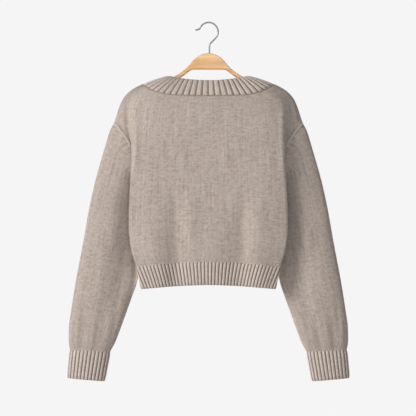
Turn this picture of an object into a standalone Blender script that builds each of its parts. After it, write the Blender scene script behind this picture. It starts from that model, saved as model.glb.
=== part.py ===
"""Cropped wool cardigan on a flat wooden hanger, hung by a wire hook.

The garment's back faces -Y, +X is the wearer's right, and the origin is the inside top of the hook.
Sizes are in millimetres, and `build` turns them into metres. `drop` is a distance down from the origin.
"""
import bpy
import bmesh
import math
import numpy as np

MM = 0.001

# Knit
SEAM_GAP = 0.3
JERSEY_WALL = 3.0
RIB_WALL = 3.2
RIB_RAISE = 1.4

# Drops of the main seams
SHOULDER_NECK_DROP = 127.7
SHOULDER_TIP_DROP = 210.0
UNDERARM_DROP = 388.0
HEM_SEAM_DROP = 510.0
HEM_EDGE_DROP = 558.0
HEM_ARCH = 10.0

# Neck
NECK_CORNER_X = 81.0
NECK_CORNER_DROP = 110.5
NECK_CENTRE_DROP = 120.0
NECK_CENTRE_Y = 27.0
NECK_SEAM_CENTRE_DROP = 153.5

# Front bands
BAND_HALF = 21.5
V_POINT_DROP = 345.0
OVERLAP_LIFT = RIB_WALL + RIB_RAISE + 0.6
LIFT_STARTS_DROP = 235.0
LIFT_FULL_DROP = 292.0
LIFT_FADES_X = 75.0

# Ribs: how many on each piece, and the outer points of one rib as (share of the pitch, raised or not)
NECK_RIBS = 24
BAND_V_RIBS = 20
BAND_STRAIGHT_RIBS = 18
HEM_BACK_RIBS = 54
HEM_FRONT_RIBS = 24
CUFF_RIBS = 26
RIB_PROFILE = ((0.0, 0.0), (0.22, 1.0), (0.56, 1.0), (0.78, 0.0))

# Armhole and sleeve
ARMHOLE_STEPS = 12
ARMHOLE_HALF_DEPTH = 25.5
OVAL_POWER = 0.75
CUFF_HALF_DEPTH = 19.0

# Buttons
BUTTON_SIDES = 16
BUTTON_GAP = 0.8
BUTTON_OUTLINE = ((0.0, 0.0), (8.2, 0.0), (9.5, 1.1), (9.2, 2.8), (8.3, 3.4), (6.6, 3.1), (5.6, 2.3), (0.0, 2.1))
BUTTON_DROPS = (365.0, 407.0, 449.0, 491.0, 533.0)

# Hanger and hook
WIRE_RADIUS = 1.7
HOOK_RADIUS = 19.7
HOOK_CENTRE_X = 0.6
SHANK_X = 2.1
SHANK_DEPTH = 16.0
WOOD_TOP_DROP = 63.0


def named(names, rows):
    """A short table as a dictionary of its named columns."""
    return dict(zip(names.split(), np.array(rows, dtype=float).T))


# Half cross-section of the body at some drops: the middle of the panel, the brow where the wall starts to
# turn, the crown of the side fold, the tuck behind it and the turn before the side line. All are shared by
# back and front, y being the distance from the garment's middle plane.
BODY = named(
    "drop depth brow_x brow_y crown_x crown_y tuck_x tuck_y turn_x turn_y",
    [
        (110, 36, 74, 24, 96, 15, 104, 9, 108, 5),
        (128, 40, 96, 27, 118, 17, 129, 10, 134, 5.5),
        (145, 44, 112, 35, 138, 24, 152, 15, 162, 8),
        (160, 47, 120, 40, 148, 29, 163, 17, 174, 9),
        (180, 50, 127, 44, 154, 33, 168, 21, 181, 11),
        (210, 52, 132, 48, 157, 38, 167, 26, 184, 15),
        (247, 53.5, 135, 50.5, 158, 42, 163, 31, 166, 27),
        (272, 54, 137, 51, 160, 43.5, 160.5, 34, 158, 29),
        (300, 54, 139, 52, 161.5, 44, 158, 34.5, 152, 31),
        (351, 54, 142, 52, 164, 44, 159, 34.5, 146, 31.5),
        (388, 54, 143, 52, 165.5, 44, 159, 34, 141, 31),
        (430, 54, 143, 52, 166, 44, 158, 34, 135, 31),
        (470, 53, 140, 51, 162, 43, 154, 33, 134, 29),
        (510, 50.5, 131, 48, 151, 41.5, 146, 31.5, 134, 26.5),
        (558, 46, 122, 43, 140, 37, 136.5, 28, 133, 20),
    ],
)

# Shoulder ridge, from the neckband to the tip of the dropped shoulder
RIDGE = named("drop x", [(110.5, 81), (127.7, 137.5), (136, 154.8), (144.5, 167), (153, 175), (161, 180.5),
                         (178, 188), (195, 193.5), (210, 198.5)])
# Armhole seam, back and front alike
ARMHOLE = named("drop x", [(210, 198.5), (227, 184), (247, 170), (272, 156.5), (299, 147), (326, 141), (351, 137),
                           (371, 133.5), (388, 130)])
# Side line, tucked in between back and front
SIDE = named("drop x", [(388, 130), (400, 123), (430, 114), (470, 114), (510, 124.5), (558, 131.5)])

# Back neck seam and front V seam, and the neck edge of the front bands
NECK_SEAM = named("x drop", [(0, 153.5), (70, 152), (101.6, 146.6), (122.6, 138), (137.5, 127.7)])
V_SEAM = named("drop x", [(127.7, 136.5), (135, 131), (150, 120), (180, 101), (220, 77), (260, 55), (300, 35),
                          (325, 26), (345, 21.5), (558, 21.5)])
V_EDGE = named("drop x y", [(110.5, 81, 0), (114, 80.6, 9.5), (125, 77.5, 20), (150, 69, 30), (180, 56, 38),
                            (220, 37, 45), (260, 18, 50), (300, -1, 53), (325, -12.5, 53.8), (345, -21.5, 54)])

# Outer and inner edges of the right sleeve as seen from the back
SLEEVE_OUTER = named("drop x", [(210, 198.5), (224, 206), (266, 219), (329, 237), (392, 251), (455, 262),
                                (539, 278), (602, 288), (640, 293), (665, 293.5), (685, 290.8)])
SLEEVE_INNER = named("drop x", [(388, 130), (420, 132.5), (460, 137), (500, 143), (543, 150), (581, 163),
                                (615, 175), (648, 187), (672, 196.5), (689, 206)])
# Rings of the sleeve: the drop of the outer and of the inner edge, and half the depth between
SLEEVE_RINGS = named("outer inner depth", [
    (224, 391, 24.4), (246, 394.5, 23.6), (276, 400, 23), (315, 410, 23), (360, 425, 23.5), (410, 449, 24),
    (460, 480, 24.5), (510, 519, 25), (560, 562, 25.5), (600, 601, 25.5), (632, 633, 25), (656, 657, 24),
    (673, 675, 22.5), (684.7, 688.7, 20.5)])
# Cuff corners: outer and inner edge at its seam and at its end
CUFF = named("outer_x outer_drop inner_x inner_drop", [(290.8, 685, 206, 689), (296, 744, 217.5, 751)])

# Soft hanging folds: place across, half width, drop where they start, depth (a ridge is negative)
BACK_FOLDS = named("x width starts depth", [(-66, 22, 350, 6), (62, 24, 340, 5.5), (-104, 22, 400, -2.5),
                                            (98, 24, 380, -3), (4, 34, 380, -2)])
FRONT_FOLDS = named("x width starts depth", [(-80, 22, 360, 4.5), (74, 24, 350, 5), (-112, 20, 400, -2),
                                             (110, 20, 390, -2.5)])
SLEEVE_FOLDS = named("share width starts depth", [(0.3, 0.1, 560, 3.2), (0.62, 0.1, 520, 3.0), (0.46, 0.08, 600, -1.6)])
FOLDS_FULL_DROP = 500.0
SLEEVE_FOLDS_FULL_DROP = 668.0

# Wood of the hanger: across, drop of its top and bottom edge, half its thickness
WOOD = named("x top bottom thick", [
    (0, 63, 97.2, 6.5), (11, 64.6, 97.2, 6.5), (21, 68.9, 97.2, 6.5), (29, 75.6, 97.2, 6.5), (36, 84, 98, 6.5),
    (43, 91.4, 102.2, 6.2), (50, 97.9, 107.8, 6), (58, 103.8, 113.6, 5.8), (68, 109.8, 119.4, 5.4),
    (81, 116.3, 125.6, 5), (100, 122.2, 131.8, 5), (120, 128.6, 138, 5), (137.5, 134.9, 144, 4.8),
    (150, 140.1, 148.9, 4.4), (160, 146.4, 153.8, 3.6), (165, 150.4, 155.8, 2.4)])

COLOURS = {
    "knit": ((0.44, 0.36, 0.31, 1), 0.95, 0.0),
    "rib": ((0.42, 0.345, 0.295, 1), 0.95, 0.0),
    "button": ((0.30, 0.23, 0.18, 1), 0.35, 0.0),
    "wood": ((0.76, 0.45, 0.20, 1), 0.45, 0.0),
    "steel": ((0.56, 0.56, 0.57, 1), 0.28, 1.0),
}


def clear_scene():
    for item in list(bpy.data.objects):
        bpy.data.objects.remove(item, do_unlink=True)


def finish_material(name, finish):
    colour, roughness, metallic = COLOURS[finish]
    material = bpy.data.materials.new(name)
    material.use_nodes = True
    shader = material.node_tree.nodes["Principled BSDF"]
    shader.inputs["Base Color"].default_value = colour
    shader.inputs["Roughness"].default_value = roughness
    shader.inputs["Metallic"].default_value = metallic
    return material


def place(name, mesh, finish):
    """A named object with its own material."""
    item = bpy.data.objects.new(name, mesh)
    bpy.context.scene.collection.objects.link(item)
    mesh.materials.append(finish_material(name, finish))
    return item


# ---------------------------------------------------------------- curves

def smooth(at, stations, values):
    """Curve through a table column that never overshoots between its stations."""
    steps = np.diff(stations)
    rises = np.diff(values) / steps
    slopes = np.concatenate([[rises[0]], np.zeros(len(rises) - 1), [rises[-1]]])
    same_way = rises[1:] * rises[:-1] > 0
    pair = np.where(same_way, rises[1:] + rises[:-1], 1.0)
    slopes[1:-1] = np.where(same_way, 2 * rises[1:] * rises[:-1] / pair, 0.0)
    at = np.clip(at, stations[0], stations[-1])
    cell = np.clip(np.searchsorted(stations, at) - 1, 0, len(steps) - 1)
    width = steps[cell]
    part = (at - stations[cell]) / width
    rest = 1 - part
    return (rest * rest * (1 + 2 * part) * values[cell] + part * rest * rest * width * slopes[cell]
            + part * part * (3 - 2 * part) * values[cell + 1] - part * part * rest * width * slopes[cell + 1])


def read(table, column, at, along="drop"):
    return float(smooth(at, table[along], table[column]))


def ease(value, low, high):
    """0 below low, 1 above high, smooth between."""
    part = min(max((value - low) / (high - low), 0.0), 1.0)
    return part * part * (3 - 2 * part)


def bump(value, centre, half_width):
    return math.exp(-((value - centre) / half_width) ** 2)


def spline(keys, t):
    """Point at t on a smooth curve through the keys. The first and last key only steer it: t = 0 is keys[1]."""
    cell = min(int(t), len(keys) - 4)
    part = t - cell
    four = keys[cell:cell + 4]
    gaps = np.linalg.norm(np.diff(four, axis=0), axis=1) + 1e-6
    before, own, after = gaps
    runs = np.diff(four, axis=0) / gaps[:, None]
    tangent_a = (runs[0] * own + runs[1] * before) / (before + own)
    tangent_b = (runs[1] * after + runs[2] * own) / (own + after)
    rest = 1 - part
    return (rest * rest * (1 + 2 * part) * four[1] + part * rest * rest * own * tangent_a
            + part * part * (3 - 2 * part) * four[2] - part * part * rest * own * tangent_b)


def unit(vectors):
    vectors = np.asarray(vectors, dtype=float)
    return vectors / np.maximum(np.linalg.norm(vectors, axis=-1, keepdims=True), 1e-9)


def lengths(points):
    """Running length along a row of points."""
    return np.concatenate([[0.0], np.cumsum(np.linalg.norm(np.diff(points, axis=0), axis=1))])


def along(points, shares, values=None):
    """Points (or values kept at them) at shares of a row's length."""
    run = lengths(points)
    values = points if values is None else values
    return np.stack([np.interp(np.asarray(shares) * run[-1], run, values[:, axis]) for axis in range(3)], axis=1)


# ---------------------------------------------------------------- closed walls

def zip_rows(faces, row_a, at_a, row_b, at_b):
    """Triangles between two rows of vertices whose points lie at growing shares."""
    a = b = 0
    while a < len(row_a) - 1 or b < len(row_b) - 1:
        step_a = a < len(row_a) - 1 and (b == len(row_b) - 1 or at_a[a + 1] <= at_b[b + 1] + 1e-9)
        if step_a:
            faces.append((row_a[a], row_a[a + 1], row_b[b]))
            a += 1
        else:
            faces.append((row_a[a], row_b[b + 1], row_b[b]))
            b += 1


def grid_faces(faces, ids):
    for upper, lower in zip(ids[:-1], ids[1:]):
        for c in range(len(upper) - 1):
            faces.append((upper[c], upper[c + 1], lower[c + 1], lower[c]))


def wall(name, outer, inner, finish, closed=False, kept=None):
    """Closed solid between an outer and an inner grid of points, both rows x columns.
    `kept` lists the columns that the plain inside keeps, and `closed` joins the last column to the first."""
    rows, columns = outer.shape[:2]
    kept = list(range(columns)) if kept is None else kept
    outer_ids = np.arange(rows * columns).reshape(rows, columns)
    inner_ids = rows * columns + np.arange(rows * len(kept)).reshape(rows, len(kept))
    points = np.concatenate([outer.reshape(-1, 3), inner[:, kept].reshape(-1, 3)]) * MM
    at_outer = np.arange(columns + closed)
    at_inner = np.array(kept + [columns] * closed)
    if closed:
        outer_ids = np.concatenate([outer_ids, outer_ids[:, :1]], axis=1)
        inner_ids = np.concatenate([inner_ids, inner_ids[:, :1]], axis=1)
    faces = []
    grid_faces(faces, outer_ids)
    grid_faces(faces, inner_ids)
    zip_rows(faces, outer_ids[0], at_outer, inner_ids[0], at_inner)
    zip_rows(faces, outer_ids[-1], at_outer, inner_ids[-1], at_inner)
    if not closed:
        for side in (0, -1):
            grid_faces(faces, np.stack([outer_ids[:, side], inner_ids[:, side]], axis=1))
    return build(name, points, faces, finish)


def build(name, points, faces, finish):
    """Mesh object from points in metres, its faces turned outwards."""
    mesh = bpy.data.meshes.new(name)
    form = bmesh.new()
    corners = [form.verts.new(point) for point in points]
    for face in faces:
        form.faces.new([corners[index] for index in face])
    bmesh.ops.triangulate(form, faces=form.faces[:], quad_method="SHORT_EDGE")
    bmesh.ops.recalc_face_normals(form, faces=form.faces[:])
    form.to_mesh(mesh)
    form.free()
    mesh.shade_smooth()
    mesh.set_sharp_from_angle(angle=math.radians(50))
    return place(name, mesh, finish)


def inward(grid, closed=False, turn=1):
    """Unit vectors from the outer points into the wall."""
    across = (np.roll(grid, -1, axis=1) - np.roll(grid, 1, axis=1)) if closed else np.gradient(grid, axis=1)
    down = np.gradient(grid, axis=0)
    return turn * unit(np.cross(across, down))


# ---------------------------------------------------------------- body

def oval_share(step):
    """Share of the way from shoulder tip to underarm of one step of the armhole."""
    return (1 - math.cos(math.pi * step / ARMHOLE_STEPS)) / 2


def side_point(drop):
    """Where the half section ends: shoulder ridge, armhole seam or side line."""
    if drop <= SHOULDER_TIP_DROP:
        return read(RIDGE, "x", drop), 0.0
    if drop >= UNDERARM_DROP:
        return read(SIDE, "x", drop), 0.0
    share = (drop - SHOULDER_TIP_DROP) / (UNDERARM_DROP - SHOULDER_TIP_DROP)
    round_part = math.sin(math.acos(1 - 2 * share))
    return read(ARMHOLE, "x", drop), ARMHOLE_HALF_DEPTH * round_part ** OVAL_POWER


def section_keys(drop):
    depth = read(BODY, "depth", drop)
    brow = (read(BODY, "brow_x", drop), read(BODY, "brow_y", drop))
    crown = (read(BODY, "crown_x", drop), read(BODY, "crown_y", drop))
    tuck = (read(BODY, "tuck_x", drop), read(BODY, "tuck_y", drop))
    turn = (read(BODY, "turn_x", drop), read(BODY, "turn_y", drop))
    flat = (0.5 * brow[0], depth - 0.12 * (depth - brow[1]))
    side = side_point(drop)
    beyond = (turn[0], -turn[1]) if side[1] == 0 else (side[0] - 1, side[1] - 6)
    return np.array([(-flat[0], flat[1]), (0, depth), flat, brow, crown, tuck, turn, side, beyond])


SIDE_T = 6.0                       # the section's parameter on the side line


def fold_depth(folds, x, drop):
    total = 0.0
    for place_x, width, starts, depth in zip(folds["x"], folds["width"], folds["starts"], folds["depth"]):
        total += depth * bump(x, place_x, width) * ease(drop, starts, FOLDS_FULL_DROP)
    return total


def lift(x, drop):
    """How far the right front stands out where its band lies over the left one."""
    return OVERLAP_LIFT * ease(drop, LIFT_STARTS_DROP, LIFT_FULL_DROP) * (1 - ease(x, BAND_HALF, LIFT_FADES_X))


def body_point(drop, t, face):
    """Point on the body's outer surface. t runs from the left side line (-SIDE_T) to the right one, and face is
    -1 for the back and 1 for the front."""
    x, y = spline(section_keys(drop), abs(t))
    x = math.copysign(x, t) if t else 0.0
    folds = BACK_FOLDS if face < 0 else FRONT_FOLDS
    if abs(t) < 4:
        y -= fold_depth(folds, x, drop) * (1 - ease(abs(t), 2.0, 4.0))
    if face > 0 and x > 0 and abs(t) < 4:
        y += lift(x, drop)
    if abs(t) >= SIDE_T - 1e-6 and y < SEAM_GAP:
        y = SEAM_GAP / 2
    return np.array([x, face * y, -drop])


def side_drops():
    """Drops of the rows on the side line, from the neck's shoulder point to the hem seam."""
    shoulder = [SHOULDER_NECK_DROP, 136, 144.5, 154, 168, 188]
    armhole = [SHOULDER_TIP_DROP + (UNDERARM_DROP - SHOULDER_TIP_DROP) * oval_share(step)
               for step in range(ARMHOLE_STEPS + 1)]
    side = [400, 424, 452, 482, HEM_SEAM_DROP - SEAM_GAP]
    return np.array(shoulder + armhole + side), len(shoulder)


PANEL_T = [0, 0.5, 1, 1.5, 2, 2.45, 2.8, 3.1, 3.45, 3.8, 4.25, 4.65, 5, 5.5, 6]


def arch(x, drop_at_side):
    """Drop of a hem line, which rises towards the middle of the garment."""
    return drop_at_side - HEM_ARCH * (1 - min(abs(x) / 150.0, 1.0) ** 1.6)


def panel_drop(share_side, share_middle, top, bottom, t):
    share = share_middle + (share_side - share_middle) * ease(abs(t), 1.5, SIDE_T)
    return top + (bottom - top) * share


def level_ends(thick, rows_flat, grid):
    """Wall directions: flat in the seam plane along ridge and side line, level along the hem seam."""
    for side in (0, -1):
        for row in range(len(grid)):
            if abs(grid[row, side, 1]) < SEAM_GAP:
                thick[row, side, 1] = 0
    for row in rows_flat:
        thick[row, :, 2] = 0
    return unit(thick)


def back_panel():
    drops, _ = side_drops()
    side_share = (drops - drops[0]) / (drops[-1] - drops[0])
    middle_share = np.linspace(0, 1, len(drops))
    ts = [-t for t in PANEL_T[:0:-1]] + PANEL_T
    grid = np.zeros((len(drops), len(ts), 3))
    for c, t in enumerate(ts):
        top = NECK_SEAM_CENTRE_DROP
        for _ in range(12):
            top = 0.5 * top + 0.5 * read(NECK_SEAM, "drop", abs(body_point(top, t, -1)[0]), along="x")
        if abs(t) == SIDE_T:
            top = SHOULDER_NECK_DROP
        bottom = arch(body_point(HEM_SEAM_DROP, t, -1)[0], HEM_SEAM_DROP) - SEAM_GAP
        for r in range(len(drops)):
            grid[r, c] = body_point(panel_drop(side_share[r], middle_share[r], top, bottom, t), t, -1)
    thick = level_ends(inward(grid, turn=1), [-1], grid)
    return grid, thick


def front_start(drop):
    """Section parameter where the front's half section meets the band seam."""
    target = read(V_SEAM, "x", drop)
    keys = section_keys(drop)
    ts = np.linspace(0, SIDE_T, 241)
    xs = np.array([spline(keys, t)[0] for t in ts])
    past = int(np.argmax(xs >= target))
    low, high = xs[max(past - 1, 0)], xs[past]
    return ts[max(past - 1, 0)] + (ts[1] - ts[0]) * (target - low) / max(high - low, 1e-6)


FRONT_COLUMNS = 13


def front_panel(side):
    """Grid from the band seam to the side line; side is -1 for the left front and 1 for the right one."""
    drops, _ = side_drops()
    count = len(drops)
    seam_drops = np.interp(np.linspace(0, 1, count), [0, 0.12, 1],
                           [SHOULDER_NECK_DROP + 1.2, 152, arch(BAND_HALF, HEM_SEAM_DROP) - SEAM_GAP])
    grid = np.zeros((count, FRONT_COLUMNS, 3))
    for r in range(count):
        start = front_start(seam_drops[r])
        for c in range(FRONT_COLUMNS):
            share = c / (FRONT_COLUMNS - 1)
            t = start + (SIDE_T - start) * share
            drop = seam_drops[r] + (drops[r] - seam_drops[r]) * ease(share, 0.0, 1.0)
            if r == count - 1 and c > 0:
                drop = arch(body_point(HEM_SEAM_DROP, t, 1)[0], HEM_SEAM_DROP) - SEAM_GAP
            grid[r, c] = body_point(drop, side * t, 1)
    thick = level_ends(inward(grid, turn=-side), [-1], grid)
    thick[seam_drops > V_POINT_DROP - 40, 0, 0] = 0
    return grid, unit(thick)


# ---------------------------------------------------------------- ribs

def rib_shares(count, ends=True):
    """Shares along a ribbed piece and how far each point is raised."""
    shares = [(rib + at) / count for rib in range(count) for at, _ in RIB_PROFILE]
    raised = [up for _ in range(count) for _, up in RIB_PROFILE]
    if ends:
        shares.append(1.0)
        raised.append(0.0)
    return np.array(shares), np.array(raised)


def ribbed(name, base, thick, raised, closed=False):
    """Rib knit: ribs raised in the outer points, over a plain inside with one column to a rib."""
    outer = base - thick * (RIB_RAISE * raised)[None, :, None]
    inner = base + thick * RIB_WALL
    kept = list(range(0, base.shape[1], len(RIB_PROFILE)))
    return wall(name, outer, inner, "rib", closed=closed, kept=kept)


def neckband_back(panel, panel_thick):
    """Back neckband, standing on the panel's neck seam and leaning in to the neck edge."""
    shares, raised = rib_shares(NECK_RIBS)
    seam = along(panel[0], shares)
    seam_thick = unit(along(panel[0], shares, panel_thick[0]))
    angle = (shares - 0.5) * math.pi
    rise = np.abs(np.sin(angle)) ** 2.2
    edge = np.stack([NECK_CORNER_X * np.sin(angle), -SEAM_GAP / 2 - NECK_CENTRE_Y * np.cos(angle) ** 0.9,
                     -NECK_CENTRE_DROP + (NECK_CENTRE_DROP - NECK_CORNER_DROP) * rise], axis=1)
    up = unit(edge - seam)
    seam = seam + up * (SEAM_GAP + 0.1)
    middle = (seam + edge) / 2
    base = np.stack([edge, middle, seam])
    thick = inward(base, turn=1)
    thick[1] = unit(thick[1])
    base[1] -= thick[1] * 1.4
    thick[2] = seam_thick
    thick[:, [0, -1], 1] = 0
    thick = unit(thick)
    return ribbed("neckband_back", base, thick, raised)


def front_edge_y(x, drop):
    """Distance of the front's outer surface from the middle plane at a place across."""
    keys = section_keys(drop)
    ts = np.linspace(0, 3.0, 61)
    section = np.array([spline(keys, t) for t in ts])
    y = float(np.interp(abs(x), section[:, 0], section[:, 1]))
    return y - fold_depth(FRONT_FOLDS, x, drop)


def front_band(side, panel, panel_thick):
    """Front band: its seam follows the panel's edge, its other edge is the V and then the closing edge."""
    name = "band_right" if side > 0 else "band_left"
    stations = []
    v_shares, v_raised = rib_shares(BAND_V_RIBS, ends=False)
    s_shares, s_raised = rib_shares(BAND_STRAIGHT_RIBS)
    raised = np.concatenate([v_raised, s_raised])
    seam_row = panel[:, 0].copy()
    first = np.array([[side * (NECK_SEAM["x"][-1] - 0.2), SEAM_GAP / 2, -SHOULDER_NECK_DROP + 0.4]])
    first_thick = panel_thick[:1, 0].copy()
    upper = -seam_row[:, 2] < V_POINT_DROP
    v_seam = np.concatenate([first, seam_row[upper], [seam_at(seam_row, V_POINT_DROP)]])
    v_thick = np.concatenate([first_thick, panel_thick[upper, 0], [seam_at(seam_row, V_POINT_DROP, panel_thick[:, 0])]])
    bottom_drop = arch(BAND_HALF, HEM_EDGE_DROP)
    low = np.array([[side * BAND_HALF, 0, -drop] for drop in np.linspace(V_POINT_DROP, bottom_drop, 12)])
    for point in low:
        point[1] = front_edge_y(side * BAND_HALF, -point[2]) + (lift(BAND_HALF, -point[2]) if side > 0 else 0)
    low_thick = np.tile([[0.0, -1.0, 0.0]], (len(low), 1))
    seam = np.concatenate([along(v_seam, v_shares), along(low, s_shares)])
    seam_thick = np.concatenate([along(v_seam, v_shares, v_thick), along(low, s_shares, low_thick)])
    drops = np.concatenate([V_EDGE["drop"][0] + (V_POINT_DROP - V_EDGE["drop"][0]) * v_shares ** 1.05,
                            V_POINT_DROP + (bottom_drop - V_POINT_DROP) * s_shares])
    for drop in drops:
        x = read(V_EDGE, "x", drop)
        y = read(V_EDGE, "y", drop)
        if drop > V_POINT_DROP - 50:
            blend = ease(drop, V_POINT_DROP - 50, V_POINT_DROP)
            y += (front_edge_y(side * x, drop) - y) * blend
        if side > 0:
            y += lift(0, drop)
        stations.append((side * x, max(y, SEAM_GAP / 2), -drop))
    edge = np.array(stations)
    seam = seam + unit(edge - seam) * (SEAM_GAP + 0.1)
    base = np.stack([edge, seam], axis=0)
    thick = inward(base, turn=side)
    thick[1] = unit(seam_thick)
    thick[:, 0, 1] = 0
    thick = unit(thick)
    return ribbed(name, base, thick, raised)


def seam_at(row, drop, values=None):
    """Point (or value) of a panel's edge at one drop."""
    values = row if values is None else values
    order = np.argsort(-row[:, 2])
    return np.array([np.interp(drop, -row[order, 2], values[order, axis]) for axis in range(3)])


def hem(name, face, t_low, t_high, count, low_x=None):
    """Hem rib from one end of the section to the other."""
    shares, raised = rib_shares(count)
    rows = []
    for level in (HEM_SEAM_DROP, HEM_EDGE_DROP):
        ts = np.linspace(t_low, t_high, 181)
        line = []
        for t in ts:
            x = body_point(level, t, face)[0]
            line.append(body_point(arch(x, level), t, face))
        rows.append(along(np.array(line), shares))
    base = np.stack(rows)
    turn = -1 if face < 0 else 1
    thick = inward(base, turn=-turn)
    for side in (0, -1):
        if abs(base[0, side, 1]) < 1:
            base[:, side, 1] = face * SEAM_GAP / 2
            thick[:, side, 1] = 0
    thick[:, :, 2] = 0
    return ribbed(name, base, unit(thick), raised)


def hem_front(side):
    """Hem rib of one front, from its band to the side line."""
    start = front_start(arch(BAND_HALF, HEM_EDGE_DROP)) + 0.004
    low, high = (start, SIDE_T) if side > 0 else (-SIDE_T, -start)
    name = "hem_front_right" if side > 0 else "hem_front_left"
    return hem(name, 1, low, high, HEM_FRONT_RIBS)


# ---------------------------------------------------------------- sleeves

def oval(outer, inner, half_depth, shares_round):
    """Flat oval between an outer and an inner edge point; shares_round run once round from the outer edge over
    the back."""
    points = []
    for share in shares_round:
        angle = 2 * math.pi * share
        part = (1 - math.cos(angle)) / 2
        depth = half_depth * abs(math.sin(angle)) ** OVAL_POWER
        x, drop = outer + (inner - outer) * part
        points.append((x, -math.copysign(depth, math.sin(angle)), -drop))
    return np.array(points)


def sleeve_fold(share, drop):
    """Depth of the soft folds at a share of the way from the sleeve's outer edge to its inner one."""
    total = 0.0
    for centre, width, starts, depth in zip(*(SLEEVE_FOLDS[key] for key in ("share", "width", "starts", "depth"))):
        total += depth * bump(share, centre, width) * ease(drop, starts, SLEEVE_FOLDS_FULL_DROP)
    return total * (1 - ease(drop, SLEEVE_FOLDS_FULL_DROP, 690) * 0.6)


def sleeve(side, back, back_thick):
    """Sleeve tube, from the armhole seam to the cuff seam. Its first ring is the body's seam, moved off by the
    seam's gap."""
    _, first = side_drops()
    seam = back[first:first + ARMHOLE_STEPS + 1, -1].copy()
    seam[[0, -1], 1] = 0
    ring = np.concatenate([seam, seam[-2:0:-1] * (1, -1, 1)])
    rings = [ring]
    for outer_drop, inner_drop, depth in zip(*(SLEEVE_RINGS[key] for key in ("outer", "inner", "depth"))):
        outer = np.array([read(SLEEVE_OUTER, "x", outer_drop), outer_drop])
        inner = np.array([read(SLEEVE_INNER, "x", inner_drop), inner_drop])
        shares = np.arange(2 * ARMHOLE_STEPS) / (2 * ARMHOLE_STEPS)
        ring = oval(outer, inner, depth, shares)
        for point in ring:
            part = (point[0] - outer[0]) / (inner[0] - outer[0])
            away = sleeve_fold(part, -point[2])
            point[1] -= math.copysign(min(away, abs(point[1])), point[1])
        rings.append(ring)
    grid = np.stack(rings)
    toward = unit(grid[1] - grid[0])
    for column in range(2 * ARMHOLE_STEPS):
        from_end = min(column % ARMHOLE_STEPS, -column % ARMHOLE_STEPS)
        grid[0, column] += toward[column] * (SEAM_GAP + 0.1 + 0.5 * (1 - ease(from_end, 1.5, 4.0)))
    thick = inward(grid, closed=True, turn=-1)
    body_thick = back_thick[first:first + ARMHOLE_STEPS + 1, -1]
    body_thick = np.concatenate([body_thick, body_thick[-2:0:-1] * (1, -1, 1)])
    for column in range(2 * ARMHOLE_STEPS):
        own = ease(min(column, 2 * ARMHOLE_STEPS - column), 1.5, 5.0)
        thick[0, column] = body_thick[column] * (1 - own) + thick[0, column] * own
    grid[:, :, 0] *= side
    thick[:, :, 0] *= side
    cuff_axis = unit([side * (CUFF["outer_x"][1] + CUFF["inner_x"][1] - CUFF["outer_x"][0] - CUFF["inner_x"][0]), 0,
                      -(CUFF["outer_drop"][1] + CUFF["inner_drop"][1] - CUFF["outer_drop"][0]
                        - CUFF["inner_drop"][0])])
    thick[-1] = unit(thick[-1] - (thick[-1] @ cuff_axis)[:, None] * cuff_axis)
    thick[:, 0, 1] = 0
    thick[:, ARMHOLE_STEPS, 1] = 0
    return grid, unit(thick), cuff_axis


def cuff(name, side, axis):
    """Cuff rib, a tube on the sleeve's last ring."""
    shares, raised = rib_shares(CUFF_RIBS, ends=False)
    rows = []
    for row, half_depth in ((0, 20.5), (1, CUFF_HALF_DEPTH)):
        outer = np.array([CUFF["outer_x"][row], CUFF["outer_drop"][row] + (SEAM_GAP if row == 0 else 0)])
        inner = np.array([CUFF["inner_x"][row], CUFF["inner_drop"][row] + (SEAM_GAP if row == 0 else 0)])
        fine = oval(outer, inner, half_depth, np.linspace(0, 1, 361))
        rows.append(along(fine, shares))
    base = np.stack(rows)
    thick = inward(base, closed=True, turn=-1)
    base[:, :, 0] *= side
    thick[:, :, 0] *= side
    thick = unit(thick - (thick @ axis)[:, :, None] * axis)
    return ribbed(name, base, thick, raised, closed=True)


# ---------------------------------------------------------------- buttons, hanger, hook

def button(number, drop):
    """Plain round button, dished on its face, lying on the closing band's ribs."""
    y = front_edge_y(0, drop) + lift(0, drop) + RIB_RAISE + BUTTON_GAP
    form = bmesh.new()
    corners = [form.verts.new((radius * MM, 0, height * MM)) for radius, height in BUTTON_OUTLINE]
    edges = [form.edges.new(pair) for pair in zip(corners[:-1], corners[1:])]
    bmesh.ops.spin(form, geom=corners + edges, axis=(0, 0, 1), cent=(0, 0, 0), steps=BUTTON_SIDES,
                   angle=2 * math.pi, use_duplicate=False)
    bmesh.ops.remove_doubles(form, verts=form.verts[:], dist=1e-6)
    bmesh.ops.recalc_face_normals(form, faces=form.faces[:])
    mesh = bpy.data.meshes.new(f"button_{number}")
    form.to_mesh(mesh)
    form.free()
    mesh.shade_smooth()
    mesh.set_sharp_from_angle(angle=math.radians(40))
    item = place(f"button_{number}", mesh, "button")
    item.location = (0, y * MM, -drop * MM)
    item.rotation_euler = (math.radians(-90), 0, 0)
    return item


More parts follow.
